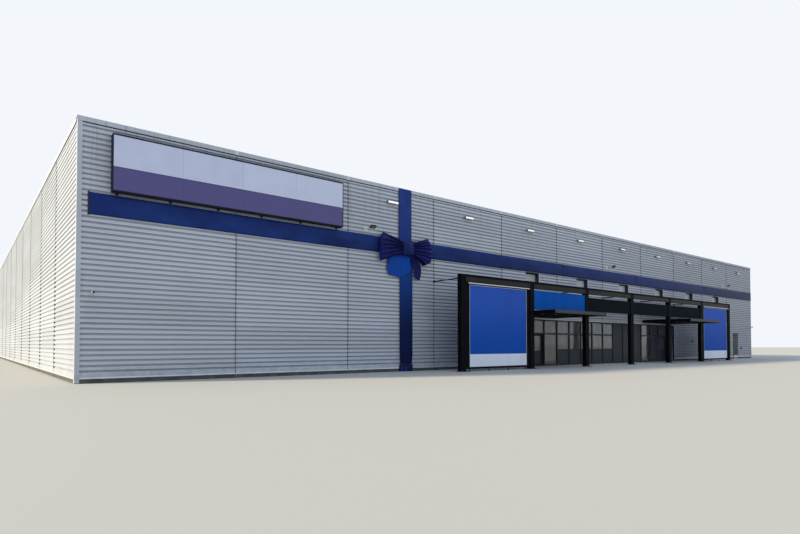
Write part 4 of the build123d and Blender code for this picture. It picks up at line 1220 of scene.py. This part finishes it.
# %% [markdown]
# Five lengths make the level ribbon. Their ends meet under battens of dark metal, which are
# screwed to the ribs and pull the cloth tight there. The seam behind the bow has none,
# because the knot holds it. Between two battens the cloth bellies out.

# %% Level ribbon
SEAM_X = [ribbon_low.x, knot.x, -1.186, 3.512, 9.532, ribbon_high.x]
RIBBON_TALL = ribbon_high.z - ribbon_low.z
RIBBON_BELLY, RIBBON_CREASE, RIBBON_SAG = 0.007, 0.004, 0.010
BATTEN = Vector((0.030, 0.004, 0.012))
BATTEN_SCREW = 0.02           # edge of the ribbon to the screw in its batten


def ribbon_shape(start, end, seed):
    """A length of ribbon that is held at its ends and slack between them."""
    def shape(u, v):
        x = start + (end - start) * v
        pull = 4 * v * (1 - v)
        belly = slack(x * 1.1, u * 1.6, seed, RIBBON_BELLY) * min(1, 6 * pull)
        crease = slack(x * 3.7 + 2 * u, u * 0.8, seed + 9, RIBBON_CREASE) * min(1, 4 * pull)
        drop = RIBBON_SAG * pull * (0.6 + 0.4 * noise.noise(Vector((x * 0.6, 0, seed))))
        return Vector((x, ribbon_y - belly - crease, ribbon_low.z + RIBBON_TALL * u - drop))
    return shape


for i, (start, end) in enumerate(zip(SEAM_X, SEAM_X[1:])):
    cloth(f"ribbon_length_{i + 1}", 8, int((end - start) * 16), (RIBBON_TALL, end - start),
          ribbon_shape(start, end, i * 3.7), ribbon_satin, "stretched", ["joint_strips"],
          replaces=("ribbon_level",) if i == 0 else ())

form = bmesh.new()
outside = ribbon_y - CLOTH_THICK
heights = (ribbon_low.z + BATTEN_SCREW, (ribbon_low.z + ribbon_high.z) / 2,
           ribbon_high.z - BATTEN_SCREW)
for x in [SEAM_X[0] + BATTEN.x / 2, *SEAM_X[2:5], SEAM_X[5] - BATTEN.x / 2]:
    add_bar(form, about(x, BATTEN.x), (outside - BATTEN.y, outside),
            (ribbon_low.z - BATTEN.z, ribbon_high.z + BATTEN.z), EASE)
    add_copies(form, screw, facing("front", *[(x, outside - BATTEN.y, z) for z in heights]))
batten_paint = powder_coat("batten_paint", (0.012, 0.018, 0.05), (0.03, 0.035, 0.07), 0.45)
piece("ribbon_battens", form, batten_paint)

# %% [markdown]
# The upright band hangs over the parapet and passes behind the bow. Its upper length follows
# a path up the wall and over the cap. The lower length is gathered by a strap near its foot,
# and below that it opens into a short skirt with deep folds. Each is a function of u across
# the cloth and v along it, which the grid then follows.

# %% Upright band
STRAP_Z, STRAP_TALL = 0.170, 0.024
STRAP_END = 0.045
SKIRT_DEPTH, SKIRT_FOLDS = 0.034, 5
BAND_BELLY = 0.008
band_x = (band_low.x + band_high.x) / 2
BAND_DRIFT = 0.030            # the lower length hangs a little to the right
band_wide = band_high.x - band_low.x


def upper_band(u, v):
    """From the knot at v = 0 up the wall, then over the cap."""
    x = band_low.x + band_wide * u
    rise = band_high.z - knot.z
    turn = rise / (rise + band_high.y - band_low.y)
    if v < turn:
        z = knot.z + rise * v / turn
        pull = min(1, 5 * (1 - v / turn))
        return Vector((x, band_y - slack(x * 5, z * 0.9, 4.4, BAND_BELLY) * pull, z))
    return Vector((x, band_y + (v - turn) / (1 - turn) * (band_high.y - band_y), band_high.z))


def lower_band(u, v):
    """From the foot at v = 0 to the knot at v = 1, gathered at the strap."""
    z = band_low.z + (knot.z - band_low.z) * v
    if z < STRAP_Z:
        down = (STRAP_Z - z) / (STRAP_Z - band_low.z)
        depth = SKIRT_DEPTH * (0.35 + 0.65 * down ** 0.7)
        wide = band_wide * (0.90 + 0.22 * down ** 0.4)
    else:
        up = z - STRAP_Z
        depth = SKIRT_DEPTH * 0.35 * math.exp(-up / 0.35)
        wide = band_wide * (1 - 0.10 * math.exp(-up / 0.12))
    bend = 0.08 * noise.noise(Vector((u * 3, z * 4, 8.1)))
    belly = slack(u * 2.5, z * 1.1, 2.2, BAND_BELLY) * min(1, max(0, (z - STRAP_Z) / 0.3))
    y = band_y - folds(u + bend, SKIRT_FOLDS, depth) - belly
    return Vector((band_x + BAND_DRIFT + wide * (u - 0.5), y, z))


cloth("band_upper", 10, 60, (band_wide, 1.6), upper_band, upper_satin, "hung",
      ["parapet_caps"], replaces=("ribbon_upright",))
cloth("band_lower", 48, 120, (band_wide, 3.0), lower_band, band_satin, "gathered", ["floor"])


STRAP_HALF = band_wide * 0.45


def strap_shape(u, v):
    """Flat round the gathers, with two free ends that droop."""
    x = (2 * v - 1) * (STRAP_HALF + STRAP_END)
    inside = max(0.0, 1 - (abs(x) / STRAP_HALF) ** 8)
    drop = 0.4 * max(0.0, abs(x) - STRAP_HALF)
    y = band_y - CLOTH_OFF - SKIRT_DEPTH * 0.45 * inside
    return Vector((band_x + BAND_DRIFT + x, y, STRAP_Z + STRAP_TALL * (u - 0.5) - drop))


cloth("band_strap", 3, 60, (STRAP_TALL, 0.5), strap_shape, hem_cloth, "stretched", ["band_lower"])

# %% [markdown]
# Two loops, two tails and a knot make the bow. It could be sculpted, but worked out from its
# length a strip keeps the right amount of cloth. A loop is one strip that leaves the knot at
# the back, turns round at its tip and comes home in front. Its section is a teardrop seen
# from above. The strip is narrow and deeply pleated at the knot and wide at the tip, and the
# pleats fade on the way out. The tails fan out from under the knot in the same way.

# %% Bow loops
LOOP_ROOT, LOOP_TIP = 0.120, 0.355     # half heights of a loop
LOOP_BOW = 0.012
LOOP_DROOP = 0.030
LOOP_PLEATS = 6
TIP_PINCH = 0.85              # how far front and back close up at the upper corner of the tip
loops_low, loops_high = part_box("bow_loops")
bow_back = knot_high.y - 2 * CLOTH_OFF
bow_front = knot_low.y + CLOTH_OFF


def loop_shape(side, length, seed, cut_top, cut_foot, pleat_depth):
    """Section of a loop: out along the wall, round the tip, back in front.

    cut_top and cut_foot say how far the two corners of the tip fall short of its middle."""
    depth = bow_back - bow_front
    radius = depth / 2
    run = length - radius
    total = 2 * run + math.pi * radius

    def shape(u, v):
        place = v * total
        if place < run:
            out, y = place, bow_back - radius * 0.8 * (1 - place / run) ** 1.5
        elif place < run + math.pi * radius:
            angle = (place - run) / radius
            out, y = run + radius * math.sin(angle), bow_back - radius * (1 - math.cos(angle))
        else:
            rest = place - run - math.pi * radius
            out, y = run - rest, bow_front + radius * 0.8 * (rest / run) ** 1.5
        spread = max(0.0, out / length)
        rise = 2 * u - 1
        half = LOOP_ROOT + (LOOP_TIP - LOOP_ROOT) * spread ** 0.95
        half *= 1 + 0.03 * noise.noise(Vector((v * 5, seed, 0)))
        bow = LOOP_BOW * (1 - rise ** 2) * spread ** 2
        corner = cut_top * (max(0.0, rise - 0.3) / 0.7) ** 2
        corner = spread ** 3 * (corner + cut_foot * (max(0.0, -rise - 0.3) / 0.7) ** 4)
        fade = (1 - spread) ** 0.6 * 0.75 + 0.25
        bent = rise + 0.22 * noise.noise(Vector((rise * 1.8, spread * 0.8, seed)))
        pleat = pleat_depth * fade * math.sin(math.pi * LOOP_PLEATS * bent)
        pleat += 0.010 * spread * noise.noise(Vector((spread * 4, rise * 2.2, seed + v)))
        inward = min(1.0, spread * 6)
        y = min(bow_back, y + pleat * (0.35 + 0.65 * inward))
        y += ((bow_back + bow_front) / 2 - y) * TIP_PINCH * spread * max(0.0, rise) ** 3
        x = knot.x + side * (knot_high.x - knot.x - 0.03 + out + bow - corner)
        return Vector((x, y, knot.z + half * rise - LOOP_DROOP * spread ** 1.5))
    return shape


LOOPS = (
    ("bow_loop_left", -1, knot_low.x - loops_low.x + 0.035, 0.076, 0.020, 0.046),
    ("bow_loop_right", 1, loops_high.x - knot_high.x + 0.075, 0.120, 0.230, 0.034),
)
for name, side, length, cut_top, cut_foot, pleat_depth in LOOPS:
    shape = loop_shape(side, length, side * 2.3, cut_top, cut_foot, pleat_depth)
    cloth(name, 56, 96, (0.7, 1.5), shape, bow_satin, "folded", ["bow_knot_cloth"],
          replaces=("bow_loops",) if side < 0 else ())

# %% [markdown]
# The two tails leave the knot under its foot and fan out, with pleats that open on the way
# down. Each is a grid that runs from the knot to a cut end, along curves that lean the way the
# cloth hangs.

# %% Bow tails
TAIL_PLEATS = 4


def along(points, share):
    """The point at a share of the way along a line of points."""
    points = [Vector(point) for point in points]
    steps = [(b - a).length for a, b in zip(points, points[1:])]
    left = share * sum(steps)
    for start, end, step in zip(points, points[1:], steps):
        if left <= step:
            return start.lerp(end, left / step)
        left -= step
    return points[-1]


def curve(a, b, c, t):
    """Point on a quadratic curve from a to c that leans towards b."""
    return a * (1 - t) ** 2 + b * 2 * t * (1 - t) + c * t * t


def hung(place, u, v, front, seed, depth):
    """A place on a tail, before the bow, with its pleats and its slack."""
    pleat = folds(u + 0.02 * math.sin(5 * v), TAIL_PLEATS, depth * (1 - 0.65 * v))
    loose = slack(u * 2.2, v * 2.5, seed, 0.016) * v
    return Vector((knot.x + place.x, front - pleat - loose, knot.z + place.y))


TAIL_ROOT = [(-0.150, -0.100), (0.190, -0.120)]
TAIL_LEAN = [(-0.600, -0.080), (-0.120, -0.400), (0.200, -0.320)]
TAIL_CUT = [(-0.577, -0.423), (-0.600, -0.546), (-0.534, -0.697), (-0.179, -0.745),
            (-0.060, -0.700), (0.213, -0.530)]


def left_tail(u, v):
    """Curves from the knot to a cut end: the tail spreads over the band."""
    place = curve(along(TAIL_ROOT, u), along(TAIL_LEAN, u), along(TAIL_CUT, u), v)
    return hung(place, u, v, bow_back - 0.006, 1.7, 0.034)


TAIL_INNER = [Vector(point) for point in ((0.040, -0.100), (0.240, -0.350), (0.245, -0.725))]
TAIL_OUTER = [Vector(point) for point in ((0.120, -0.100), (0.640, -0.300), (0.410, -0.790))]


def right_tail(u, v):
    """A narrow tail that bends down from under the right loop."""
    place = curve(*TAIL_INNER, v).lerp(curve(*TAIL_OUTER, v), u)
    return hung(place, u, v, bow_back - 0.050, 5.1, 0.040)


# the left tail wears the lit copy of the satin: painted sheen
cloth("bow_tail_left", 56, 44, (0.42, 0.75), left_tail, lit_tail_satin, "hung", ["bow_knot_cloth"],
      replaces=("bow_tails",))
cloth("bow_tail_right", 48, 44, (0.30, 0.75), right_tail, bow_satin, "hung", ["bow_knot_cloth"])

# %% [markdown]
# The knot is a band wrapped round the middle of the bow. It sags a little under the weight of
# the loops, and is creased by the pull of the two ribbons that meet behind it. Its grid is
# bent to half an oval, which is flatter in front than a circle would be.

# %% Bow knot
KNOT_SHIFT = Vector((0.008, 0, -0.018))     # the knot sags a little
KNOT_SPREAD = 1.22            # and the cloth is wider than the padding inside


def knot_shape(u, v):
    """A band wrapped round the middle of the bow, with two shallow creases along it."""
    half_wide, half_tall = (knot_high.x - knot.x) * KNOT_SPREAD, (knot_high.z - knot.z)
    deep = bow_back - knot_low.y
    angle = math.pi * (v - 0.5) * 1.06
    side = 2 * u - 1
    flat = 1 - 0.20 * abs(side) ** 2.5
    crease = folds(u + 0.06 * math.sin(3 * v + u), 2, 0.007)
    bulge = math.copysign(abs(math.sin(angle)) ** 0.7, angle)
    y = bow_back - (deep - crease) * flat * max(0.0, math.cos(angle)) ** 0.45
    pinch = 1 - 0.10 * math.cos(angle) ** 2 + 0.03 * noise.noise(Vector((side, v * 3, 6.0)))
    place = Vector((knot.x + half_wide * side * pinch, y, knot.z + half_tall * bulge))
    return place + KNOT_SHIFT


cloth("bow_knot_cloth", 48, 40, (0.3, 0.7), knot_shape, knot_satin, "gathered", ["band_upper"],
      replaces=("bow_knot",))
print(sheet_sizes)

# %% [markdown]
# The portico is welded from black steel boxes. Its beam wears a lighter copy of the black
# paint between the columns, painted light for the sky on its web, so each column carries a
# black cover up over the beam, and a thin black capping runs along the top. A second colour on
# the beam itself would have no edge, so the covers are thin bars laid just off it. The base
# plates are bolted down at their four corners.

# %% Portico covers, capping and bolts
COVER_THICK = 0.003
CAPPING_OVERHANG, CAPPING_THICK = 0.006, 0.005
CAPPING_FALL = 0.055          # the capping is folded down over the front of the beam
BASE_PLATE_TOP, BOLT_INSET = 0.012, 0.028
SPLICE_X, SPLICE_Z = 0.05, 0.04          # bolts behind the beam, from its column and its edges

beam_low, beam_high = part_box("portico_beam")
columns = solids("portico_columns")
plate_half = (columns[0][1].x - columns[0][0].x) / 2
column_x = [(low.x + high.x) / 2 for low, high in columns]
column_half = column_x[0] - beam_low.x
columns_y = sum(end.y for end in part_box("portico_columns")) / 2

form = bmesh.new()
beam_z = beam_low.z, beam_high.z
cover_y = beam_low.y - COVER_THICK
for x in column_x:
    add_bar(form, about(x, 2 * column_half), (cover_y, beam_low.y - GAP), beam_z, THIN_EASE)
for end, out in ((beam_low.x, -1), (beam_high.x, 1)):
    add_bar(form, (end + out * GAP, end + out * COVER_THICK), (cover_y, beam_high.y), beam_z,
            THIN_EASE)
capping_x = beam_low.x - CAPPING_OVERHANG, beam_high.x + CAPPING_OVERHANG
capping_y = beam_low.y - CAPPING_OVERHANG
add_bar(form, capping_x, (capping_y, beam_high.y + CAPPING_OVERHANG),
        (beam_high.z + GAP, beam_high.z + CAPPING_THICK), EASE)
add_bar(form, capping_x, (capping_y, cover_y - GAP),
        (beam_high.z - CAPPING_FALL, beam_high.z + GAP / 2), THIN_EASE)
piece("portico_covers", form, black_paint)

form = bmesh.new()
reach = plate_half - BOLT_INSET
places = [(x + i * reach, columns_y + j * reach, BASE_PLATE_TOP)
          for x in column_x for i in (-1, 1) for j in (-1, 1)]
add_copies(form, hex_bolt(0.016, 0.012), places)
places = [(x + i * SPLICE_X, beam_high.y, z) for x in column_x for i in (-1, 1)
          for z in (beam_low.z + SPLICE_Z, beam_high.z - SPLICE_Z)]
add_copies(form, hex_bolt(0.012, 0.007), facing("back", *places))
piece("portico_bolts", form, galvanised)

# %% [markdown]
# A tie rod runs back from each column head to the wall. In the middle it has a turnbuckle: an
# open frame between two nuts, by which the rod is drawn tight. Two short six-sided rods and
# two thin round ones are all that it takes.

# %% Turnbuckles
BUCKLE_LENGTH, BUCKLE_R = 0.140, 0.026
NUT, SIDE_ROD_IN, SIDE_ROD_R = 0.030, 0.02, 0.005
form = bmesh.new()
for low, high in solids("portico_ties"):
    x, y, z = (low + high) / 2
    for out in (-1, 1):
        end = y + out * BUCKLE_LENGTH / 2
        add_rod(form, (x, end, z), (x, end - out * NUT, z), BUCKLE_R, 6)
    y0, y1 = about(y, BUCKLE_LENGTH - 2 * SIDE_ROD_IN)
    for side in about(x, 2 * BUCKLE_R * 0.8):
        add_rod(form, (side, y0, z), (side, y1, z), SIDE_ROD_R, 8)
piece("turnbuckles", form, galvanised)

# %% [markdown]
# Each billboard sits in a black frame. A thin aluminium bead holds the print at its edges, a
# pale lamp tube hangs under the beam on three brackets, and the frame stands on small feet.
# All are bars and rods that take their places from the boxes of the boards, so they stay with
# them.

# %% Billboard beads, lamp tubes and feet
BEAD_FACE, BEAD_OUT = 0.009, 0.004
TUBE_R, TUBE_OUT, TUBE_DROP, TUBE_INSET = 0.013, 0.024, 0.034, 0.06
TUBE_BRACKET = Vector((0.024, 0, 0.010))
FOOT = Vector((0.060, 0.044, 0.008))
FOOT_COUNT, FOOT_INSET, FOOT_R = 4, 0.15, 0.012

form = bmesh.new()
for low, high in solids("billboard_panels"):
    add_bead(form, low, high, BEAD_FACE, BEAD_OUT, EASE)
piece("billboard_beads", form, bright_trim)

lamp_white = cloudy("lamp_tube_white", (0.80, 0.81, 0.80), (0.70, 0.71, 0.71), 0.05, 0.3)
tubes, feet = bmesh.new(), bmesh.new()
y, z = beam_low.y - TUBE_OUT, beam_low.z - TUBE_DROP
for low, high in solids("billboard_frames"):
    add_rod(tubes, (low.x + TUBE_INSET, y, z), (high.x - TUBE_INSET, y, z), TUBE_R, 16)
    for share in (0.08, 0.5, 0.92):
        x = low.x + (high.x - low.x) * share
        add_bar(feet, about(x, TUBE_BRACKET.x), (y + TUBE_R, low.y), about(z, TUBE_BRACKET.z), EASE)
    middle = (low.y + high.y) / 2
    for x in evenly(low.x + FOOT_INSET, high.x - FOOT_INSET, FOOT_COUNT):
        add_bar(feet, about(x, FOOT.x), about(middle, FOOT.y), (0, FOOT.z), EASE)
        add_rod(feet, (x, middle, FOOT.z), (x, middle, low.z), FOOT_R, 12)
piece("billboard_tubes", tubes, lamp_white)
piece("billboard_feet", feet, black_paint)

# %% [markdown]
# The entrance sign has a folded rim in a darker blue. The fascia panels hang on two rails
# that run between the columns behind them, and are riveted along their edges. A rivet looks
# much like a small screw, so the sheet screw serves again.

# %% Sign rim, fascia rails and rivets
RIM, RIM_OUT = 0.012, 0.003
RAIL_DEEP, RAIL_TALL = 0.030, 0.040
RAIL_INSET, RAIL_REACH = 0.08, 0.0195    # from the panel's edges, and past its ends
RIVET_STEP, RIVET_FROM_END, RIVET_FROM_EDGE = 0.33, 0.03, 0.02
rim_blue = cloudy("sign_rim_blue", (0.004, 0.050, 0.220), (0.004, 0.040, 0.180), 0.3, 0.4,
                  Specular_IOR_Level=0.2)
form = bmesh.new()
add_bead(form, *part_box("entrance_sign"), RIM, RIM_OUT, EASE)
piece("entrance_sign_rim", form, rim_blue)

rails, rivets = bmesh.new(), []
for low, high in solids("fascia_panels"):
    for z in (low.z + RAIL_INSET, high.z - RAIL_INSET - RAIL_TALL):
        add_bar(rails, (low.x - RAIL_REACH, high.x + RAIL_REACH),
                (high.y + GAP, high.y + RAIL_DEEP), (z, z + RAIL_TALL), 0.002)
    first, last = low.x + RIVET_FROM_END, high.x - RIVET_FROM_END
    for x in evenly(first, last, round((last - first) / RIVET_STEP) + 1):
        rivets += [(x, low.y, low.z + RIVET_FROM_EDGE), (x, low.y, high.z - RIVET_FROM_EDGE)]
piece("fascia_rails", rails, black_paint)
form = bmesh.new()
add_copies(form, screw, facing("front", *rivets))
piece("fascia_rivets", form, anthracite)

# %% [markdown]
# A canopy is a flat tray with a recessed soffit. Its front edge is faced with a grey strip, a
# drip lip runs along the bottom, and four round lamps sit in the soffit. The tray is in the
# solids, so each lamp only needs two flat discs: a black ring and a white glass.

# %% Canopy edges and soffit lamps
EDGE_FACE, EDGE_LIFT = 0.003, 0.010
LIP_DEEP, LIP_FALL = 0.006, 0.004
LAMP_R, LAMP_COUNT, LAMP_FORWARD = 0.045, 4, 0.25
SOFFIT_RECESS = 0.018
edge_paint = powder_coat("canopy_edge_paint", (0.055, 0.054, 0.060), (0.085, 0.083, 0.088),
                         0.45, gloss=0.12)
glow_white = cloudy("soffit_lamp_glass", (0.72, 0.72, 0.70), (0.62, 0.62, 0.60), 0.03, 0.25)
edges, rings, glasses = bmesh.new(), bmesh.new(), bmesh.new()
for low, high in solids("canopies"):
    xs, face_y = (low.x, high.x), low.y - EDGE_FACE
    add_bar(edges, xs, (face_y, low.y - GAP), (low.z + EDGE_LIFT, high.z), THIN_EASE)
    add_bar(rings, xs, (face_y, low.y + LIP_DEEP), (low.z - LIP_FALL, low.z - GAP), THIN_EASE)
    y, soffit = (low.y + high.y) / 2 - LAMP_FORWARD, low.z + SOFFIT_RECESS
    for i in range(LAMP_COUNT):
        x = low.x + (high.x - low.x) * (i + 0.5) / LAMP_COUNT
        add_rod(rings, (x, y, soffit - 0.006), (x, y, soffit - GAP), LAMP_R, 24)
        add_rod(glasses, (x, y, soffit - 0.008), (x, y, soffit - 0.005), LAMP_R * 0.8, 24)
piece("canopy_edges", edges, edge_paint)
piece("canopy_rings", rings, black_paint)
piece("canopy_lamps", glasses, glow_white)

# %% [markdown]
# The shop front is a curtain wall of dark aluminium posts and rails. A bright flashing closes
# the joint with the cladding above it and at its two ends. Every pane and panel sits in black
# rubber, and each closed panel has a slightly raised field. These could be cut into the
# solids, but laid on as bars they get a finish of their own.

# %% Shop front flashing, seals and panel fields
HEAD_FLASHING, HEAD_OUT, HEAD_IN = 0.030, 0.008, 0.002
END_FOOT = 0.02               # the flashing at each end stops this far above the floor
GASKET, GASKET_OUT = 0.006, 0.004
FIELD_INSET, FIELD_OUT = 0.045, 0.003

form = bmesh.new()
ys = FRONT - HEAD_OUT, FRONT + HEAD_IN
add_bar(form, (shop_low.x - HEAD_FLASHING, shop_high.x + HEAD_FLASHING), ys,
        (shop_high.z + GAP, shop_high.z + HEAD_FLASHING), EASE)
for end, out in ((shop_low.x, -1), (shop_high.x, 1)):
    add_bar(form, (end + out * GAP, end + out * HEAD_FLASHING), ys, (END_FOOT, shop_high.z), EASE)
piece("shopfront_flashing", form, bright_trim)

form = bmesh.new()
for name in ("shopfront_glass", "shopfront_panels"):
    for low, high in solids(name):
        add_bead(form, low, high, GASKET, GASKET_OUT)
piece("shopfront_gaskets", form, foam)

form = bmesh.new()
for low, high in solids("shopfront_panels"):
    add_bar(form, (low.x + FIELD_INSET, high.x - FIELD_INSET), (low.y - FIELD_OUT, low.y - GAP),
            (low.z + FIELD_INSET, high.z - FIELD_INSET), 0.0025)
piece("panel_fields", form, panel_paint)

# %% [markdown]
# Each sliding leaf is a slim frame with a middle rail: clear glass above and a closed panel
# below. The leaf replaces the plain CAD leaf and rides on the same body, so it slides with
# it. Frame, glass and panel are pieces of their own, because each piece wears one finish. Its
# hangers reach up into the track.

# %% Sliding leaves
LEAVES = (("entrance_leaf_left", "entrance_leaf_right"), ("exit_leaf_left", "exit_leaf_right"))
STILE, MIDDLE_RAIL, MIDDLE_Z = 0.035, 0.030, 0.470
TRACK_GAP = 0.012             # top rail to the track
HANGER_WIDE, HANGER_THICK, HANGER_INSET = 0.050, 0.016, 0.070
PANE, PANEL, RAISED, RAISED_INSET = 0.008, 0.012, 0.002, 0.03
track_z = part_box("door_tracks")[0].z
leaf_top = track_z - TRACK_GAP
rail_foot, rail_top = about(MIDDLE_Z, MIDDLE_RAIL)
leaf_glass = glazing("leaf_glass", *SHOP_GLASS)

for name in LEAVES[0] + LEAVES[1]:
    low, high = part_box(name)
    ys, middle = (low.y, high.y), (low.y + high.y) / 2
    left, right, foot = low.x + STILE, high.x - STILE, low.z + STILE
    form = bmesh.new()
    for xs in ((low.x, left), (right, high.x)):
        add_bar(form, xs, ys, (low.z, leaf_top), WIDE_EASE)
    for zs in ((low.z, foot), (rail_foot, rail_top), (leaf_top - STILE, leaf_top)):
        add_bar(form, (left, right), ys, zs, WIDE_EASE)
    for x in (low.x + HANGER_INSET, high.x - HANGER_INSET):
        add_bar(form, about(x, HANGER_WIDE), about(middle, HANGER_THICK), (leaf_top, high.z), EASE)
    piece(f"{name}_frame", form, anthracite, body=name, replaces=(name,))

    form = bmesh.new()
    add_bar(form, (left, right), about(middle, PANE), (rail_top, leaf_top - STILE))
    piece(f"{name}_glass", form, leaf_glass, body=name)

    form = bmesh.new()
    panel_y = middle - PANEL / 2
    add_bar(form, (left, right), about(middle, PANEL), (foot, rail_foot))
    add_bar(form, (left + RAISED_INSET, right - RAISED_INSET), (panel_y - RAISED, panel_y),
            (foot + RAISED_INSET, rail_foot - RAISED_INSET), WIDE_EASE)
    piece(f"{name}_panel", form, panel_paint, body=name)

# %% [markdown]
# Over each pair of leaves sits a motion sensor. The side door has its lever in the solids,
# and gets what goes with it: a back plate with a lock, a kick plate with screws at its foot,
# and a small rain hood. The hood is folded like the drip flashing, and is kept apart from the
# plates because it stays on the wall when the door swings.

# %% Door sensors and side door fittings
SENSOR = Vector((0.130, 0.030, 0.032))
SENSOR_LIFT = 0.004           # above the foot of the track
form = bmesh.new()
sensor_z = track_z + SENSOR_LIFT
for first, second in LEAVES:
    x = (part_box(first)[1].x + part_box(second)[0].x) / 2
    add_bar(form, about(x, SENSOR.x), (shop_low.y - SENSOR.y, shop_low.y - GAP),
            (sensor_z, sensor_z + SENSOR.z), 0.006)
piece("door_sensors", form, box_paint)

LEVER_INSET, LEVER_Z = 0.045, 0.525      # where the lever's spindle is in the leaf
PLATE = Vector((0.026, 0.003, 0.120))
PLATE_FOOT, PLATE_HEAD = LEVER_Z - PLATE.z * 0.65, LEVER_Z + PLATE.z * 0.35
LOCK_DROP, LOCK_R, LOCK_OUT = 0.036, 0.008, 0.008
KICK_INSET, KICK_LOW, KICK_HIGH, KICK_THICK = 0.020, 0.045, 0.170, 0.0015
KICK_SCREW = Vector((0.015, 0, 0.012))   # from the edges of the kick plate
leaf_low, leaf_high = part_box("side_door_leaf")
face_y = FRONT - 0.008        # the outer face of the leaf
spindle, lock_z = leaf_high.x - LEVER_INSET, LEVER_Z - LOCK_DROP
form = bmesh.new()
add_bar(form, about(spindle, PLATE.x), (face_y - PLATE.y, face_y - GAP), (PLATE_FOOT, PLATE_HEAD),
        EASE)
add_rod(form, (spindle, face_y - LOCK_OUT, lock_z), (spindle, face_y - PLATE.y, lock_z), LOCK_R, 20)
kick_low, kick_high = leaf_low.x + KICK_INSET, leaf_high.x - KICK_INSET
kick_y = face_y - KICK_THICK
add_bar(form, (kick_low, kick_high), (kick_y, face_y - GAP), (KICK_LOW, KICK_HIGH), 0.0005)
corners = [(x, kick_y, z)
           for x in evenly(kick_low + KICK_SCREW.x, kick_high - KICK_SCREW.x, 3)
           for z in (KICK_LOW + KICK_SCREW.z, KICK_HIGH - KICK_SCREW.z)]
add_copies(form, screw, facing("front", *corners))
piece("side_door_fittings", form, galvanised, body="side_door")

HOOD_OUT, HOOD_THICK, HOOD_LIFT, HOOD_REACH = 0.045, 0.003, 0.006, 0.02
hood_x, hood_z = door_low.x - HOOD_REACH, door_high.z + HOOD_LIFT
back, out = FRONT - GAP, FRONT - HOOD_OUT
profile = ((back, 0.040), (back, 0.012), (out, 0), (out, -0.010))
form = bmesh.new()
add_folded(form, [(hood_x, y, hood_z + rise) for y, rise in profile],
           X_AXIS * (door_high.x - door_low.x + 2 * HOOD_REACH))
thicken(form, HOOD_THICK / 2)
piece("side_door_hood", form, anthracite)

# %% [markdown]
# The membrane of the roof is turned up against the parapets. At the foot of the turn it runs
# over a sloped fillet, and a clamping bar holds it under the cap. Rings of four points, each
# further out or higher than the last, are bridged one to the next, which mitres the corners
# without any sums.

# %% Turned-up membrane
FILLET, SKIN = 0.045, 0.003
WELDED = 0.200                # how far the upstand laps onto the deck
CLAMP_TALL, CLAMP_THICK = 0.020, 0.003
UPSTAND_DROP = 0.020          # top of the upstand to the foot of the cap
deck_low, deck_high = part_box("roof_deck")
UPSTAND_TOP = cap_high.z - CAP_TOP_FALL - CAP_INNER_LEG - UPSTAND_DROP


def add_ring(form, inset, z):
    """Four corners, this far inside the parapets, joined to a ring of edges."""
    x0, x1 = deck_low.x + inset, deck_high.x - inset
    y0, y1 = deck_low.y + inset, deck_high.y - inset
    verts = [form.verts.new((x, y, z)) for x, y in ((x0, y0), (x1, y0), (x1, y1), (x0, y1))]
    return [form.edges.new(pair) for pair in zip(verts, verts[1:] + verts[:1])]


form = bmesh.new()
profile = ((WELDED, SKIN), (FILLET, SKIN), (2 * SKIN, FILLET),
           (2 * SKIN, UPSTAND_TOP - deck_high.z))
rings = [add_ring(form, inset, deck_high.z + rise) for inset, rise in profile]
for lower, upper in zip(rings, rings[1:]):
    bmesh.ops.bridge_loops(form, edges=lower + upper)
thicken(form, SKIN / 2)
piece("roof_upstand", form, membrane)

form = bmesh.new()
clamp_z = UPSTAND_TOP - 2 * CLAMP_TALL, UPSTAND_TOP - CLAMP_TALL
near, far = 3 * SKIN, 3 * SKIN + CLAMP_THICK
for y in (deck_low.y + near, deck_high.y - far):
    add_bar(form, (deck_low.x + far, deck_high.x - far), (y, y + CLAMP_THICK), clamp_z)
for x in (deck_low.x + near, deck_high.x - far):
    add_bar(form, (x, x + CLAMP_THICK), (deck_low.y + near, deck_high.y - near), clamp_z)
piece("roof_clamps", form, galvanised)

# %% [markdown]
# Rain leaves the roof through outlets along its two long edges, one in line with each overflow
# spout. An outlet is a flat clamping ring with a basket over it that keeps leaves out: six
# bars bent to a dome, each an arc of short rods.

# %% Roof outlets
OUTLET_R, OUTLET_RING, OUTLET_FROM_EDGE = 0.060, 0.006, 0.350
BASKET_TALL, BASKET_BARS, BAR_R = 0.050, 6, 0.004
form = bmesh.new()
add_rod(form, (0, 0, 0), (0, 0, OUTLET_RING), OUTLET_R, 24)
add_rod(form, (0, 0, BASKET_TALL - OUTLET_RING), (0, 0, BASKET_TALL), OUTLET_R * 0.35, 12)
for i in range(BASKET_BARS):
    turn = Matrix.Rotation(2 * math.pi * i / BASKET_BARS, 4, "Z")
    arc = [turn @ Vector((OUTLET_R * 0.8 * math.cos(step), 0, BASKET_TALL * math.sin(step)))
           for step in (0.0, 0.5, 1.0, 1.4)]
    for start, end in zip(arc, arc[1:]):
        add_rod(form, start, end, BAR_R, 6)
places = [(low.x + SPOUT_WIDE / 2, y, deck_high.z + GAP) for low, high in spouts
          for y in (deck_low.y + OUTLET_FROM_EDGE, deck_high.y - OUTLET_FROM_EDGE)]
piece("roof_outlets", repeated(form, places), foam)
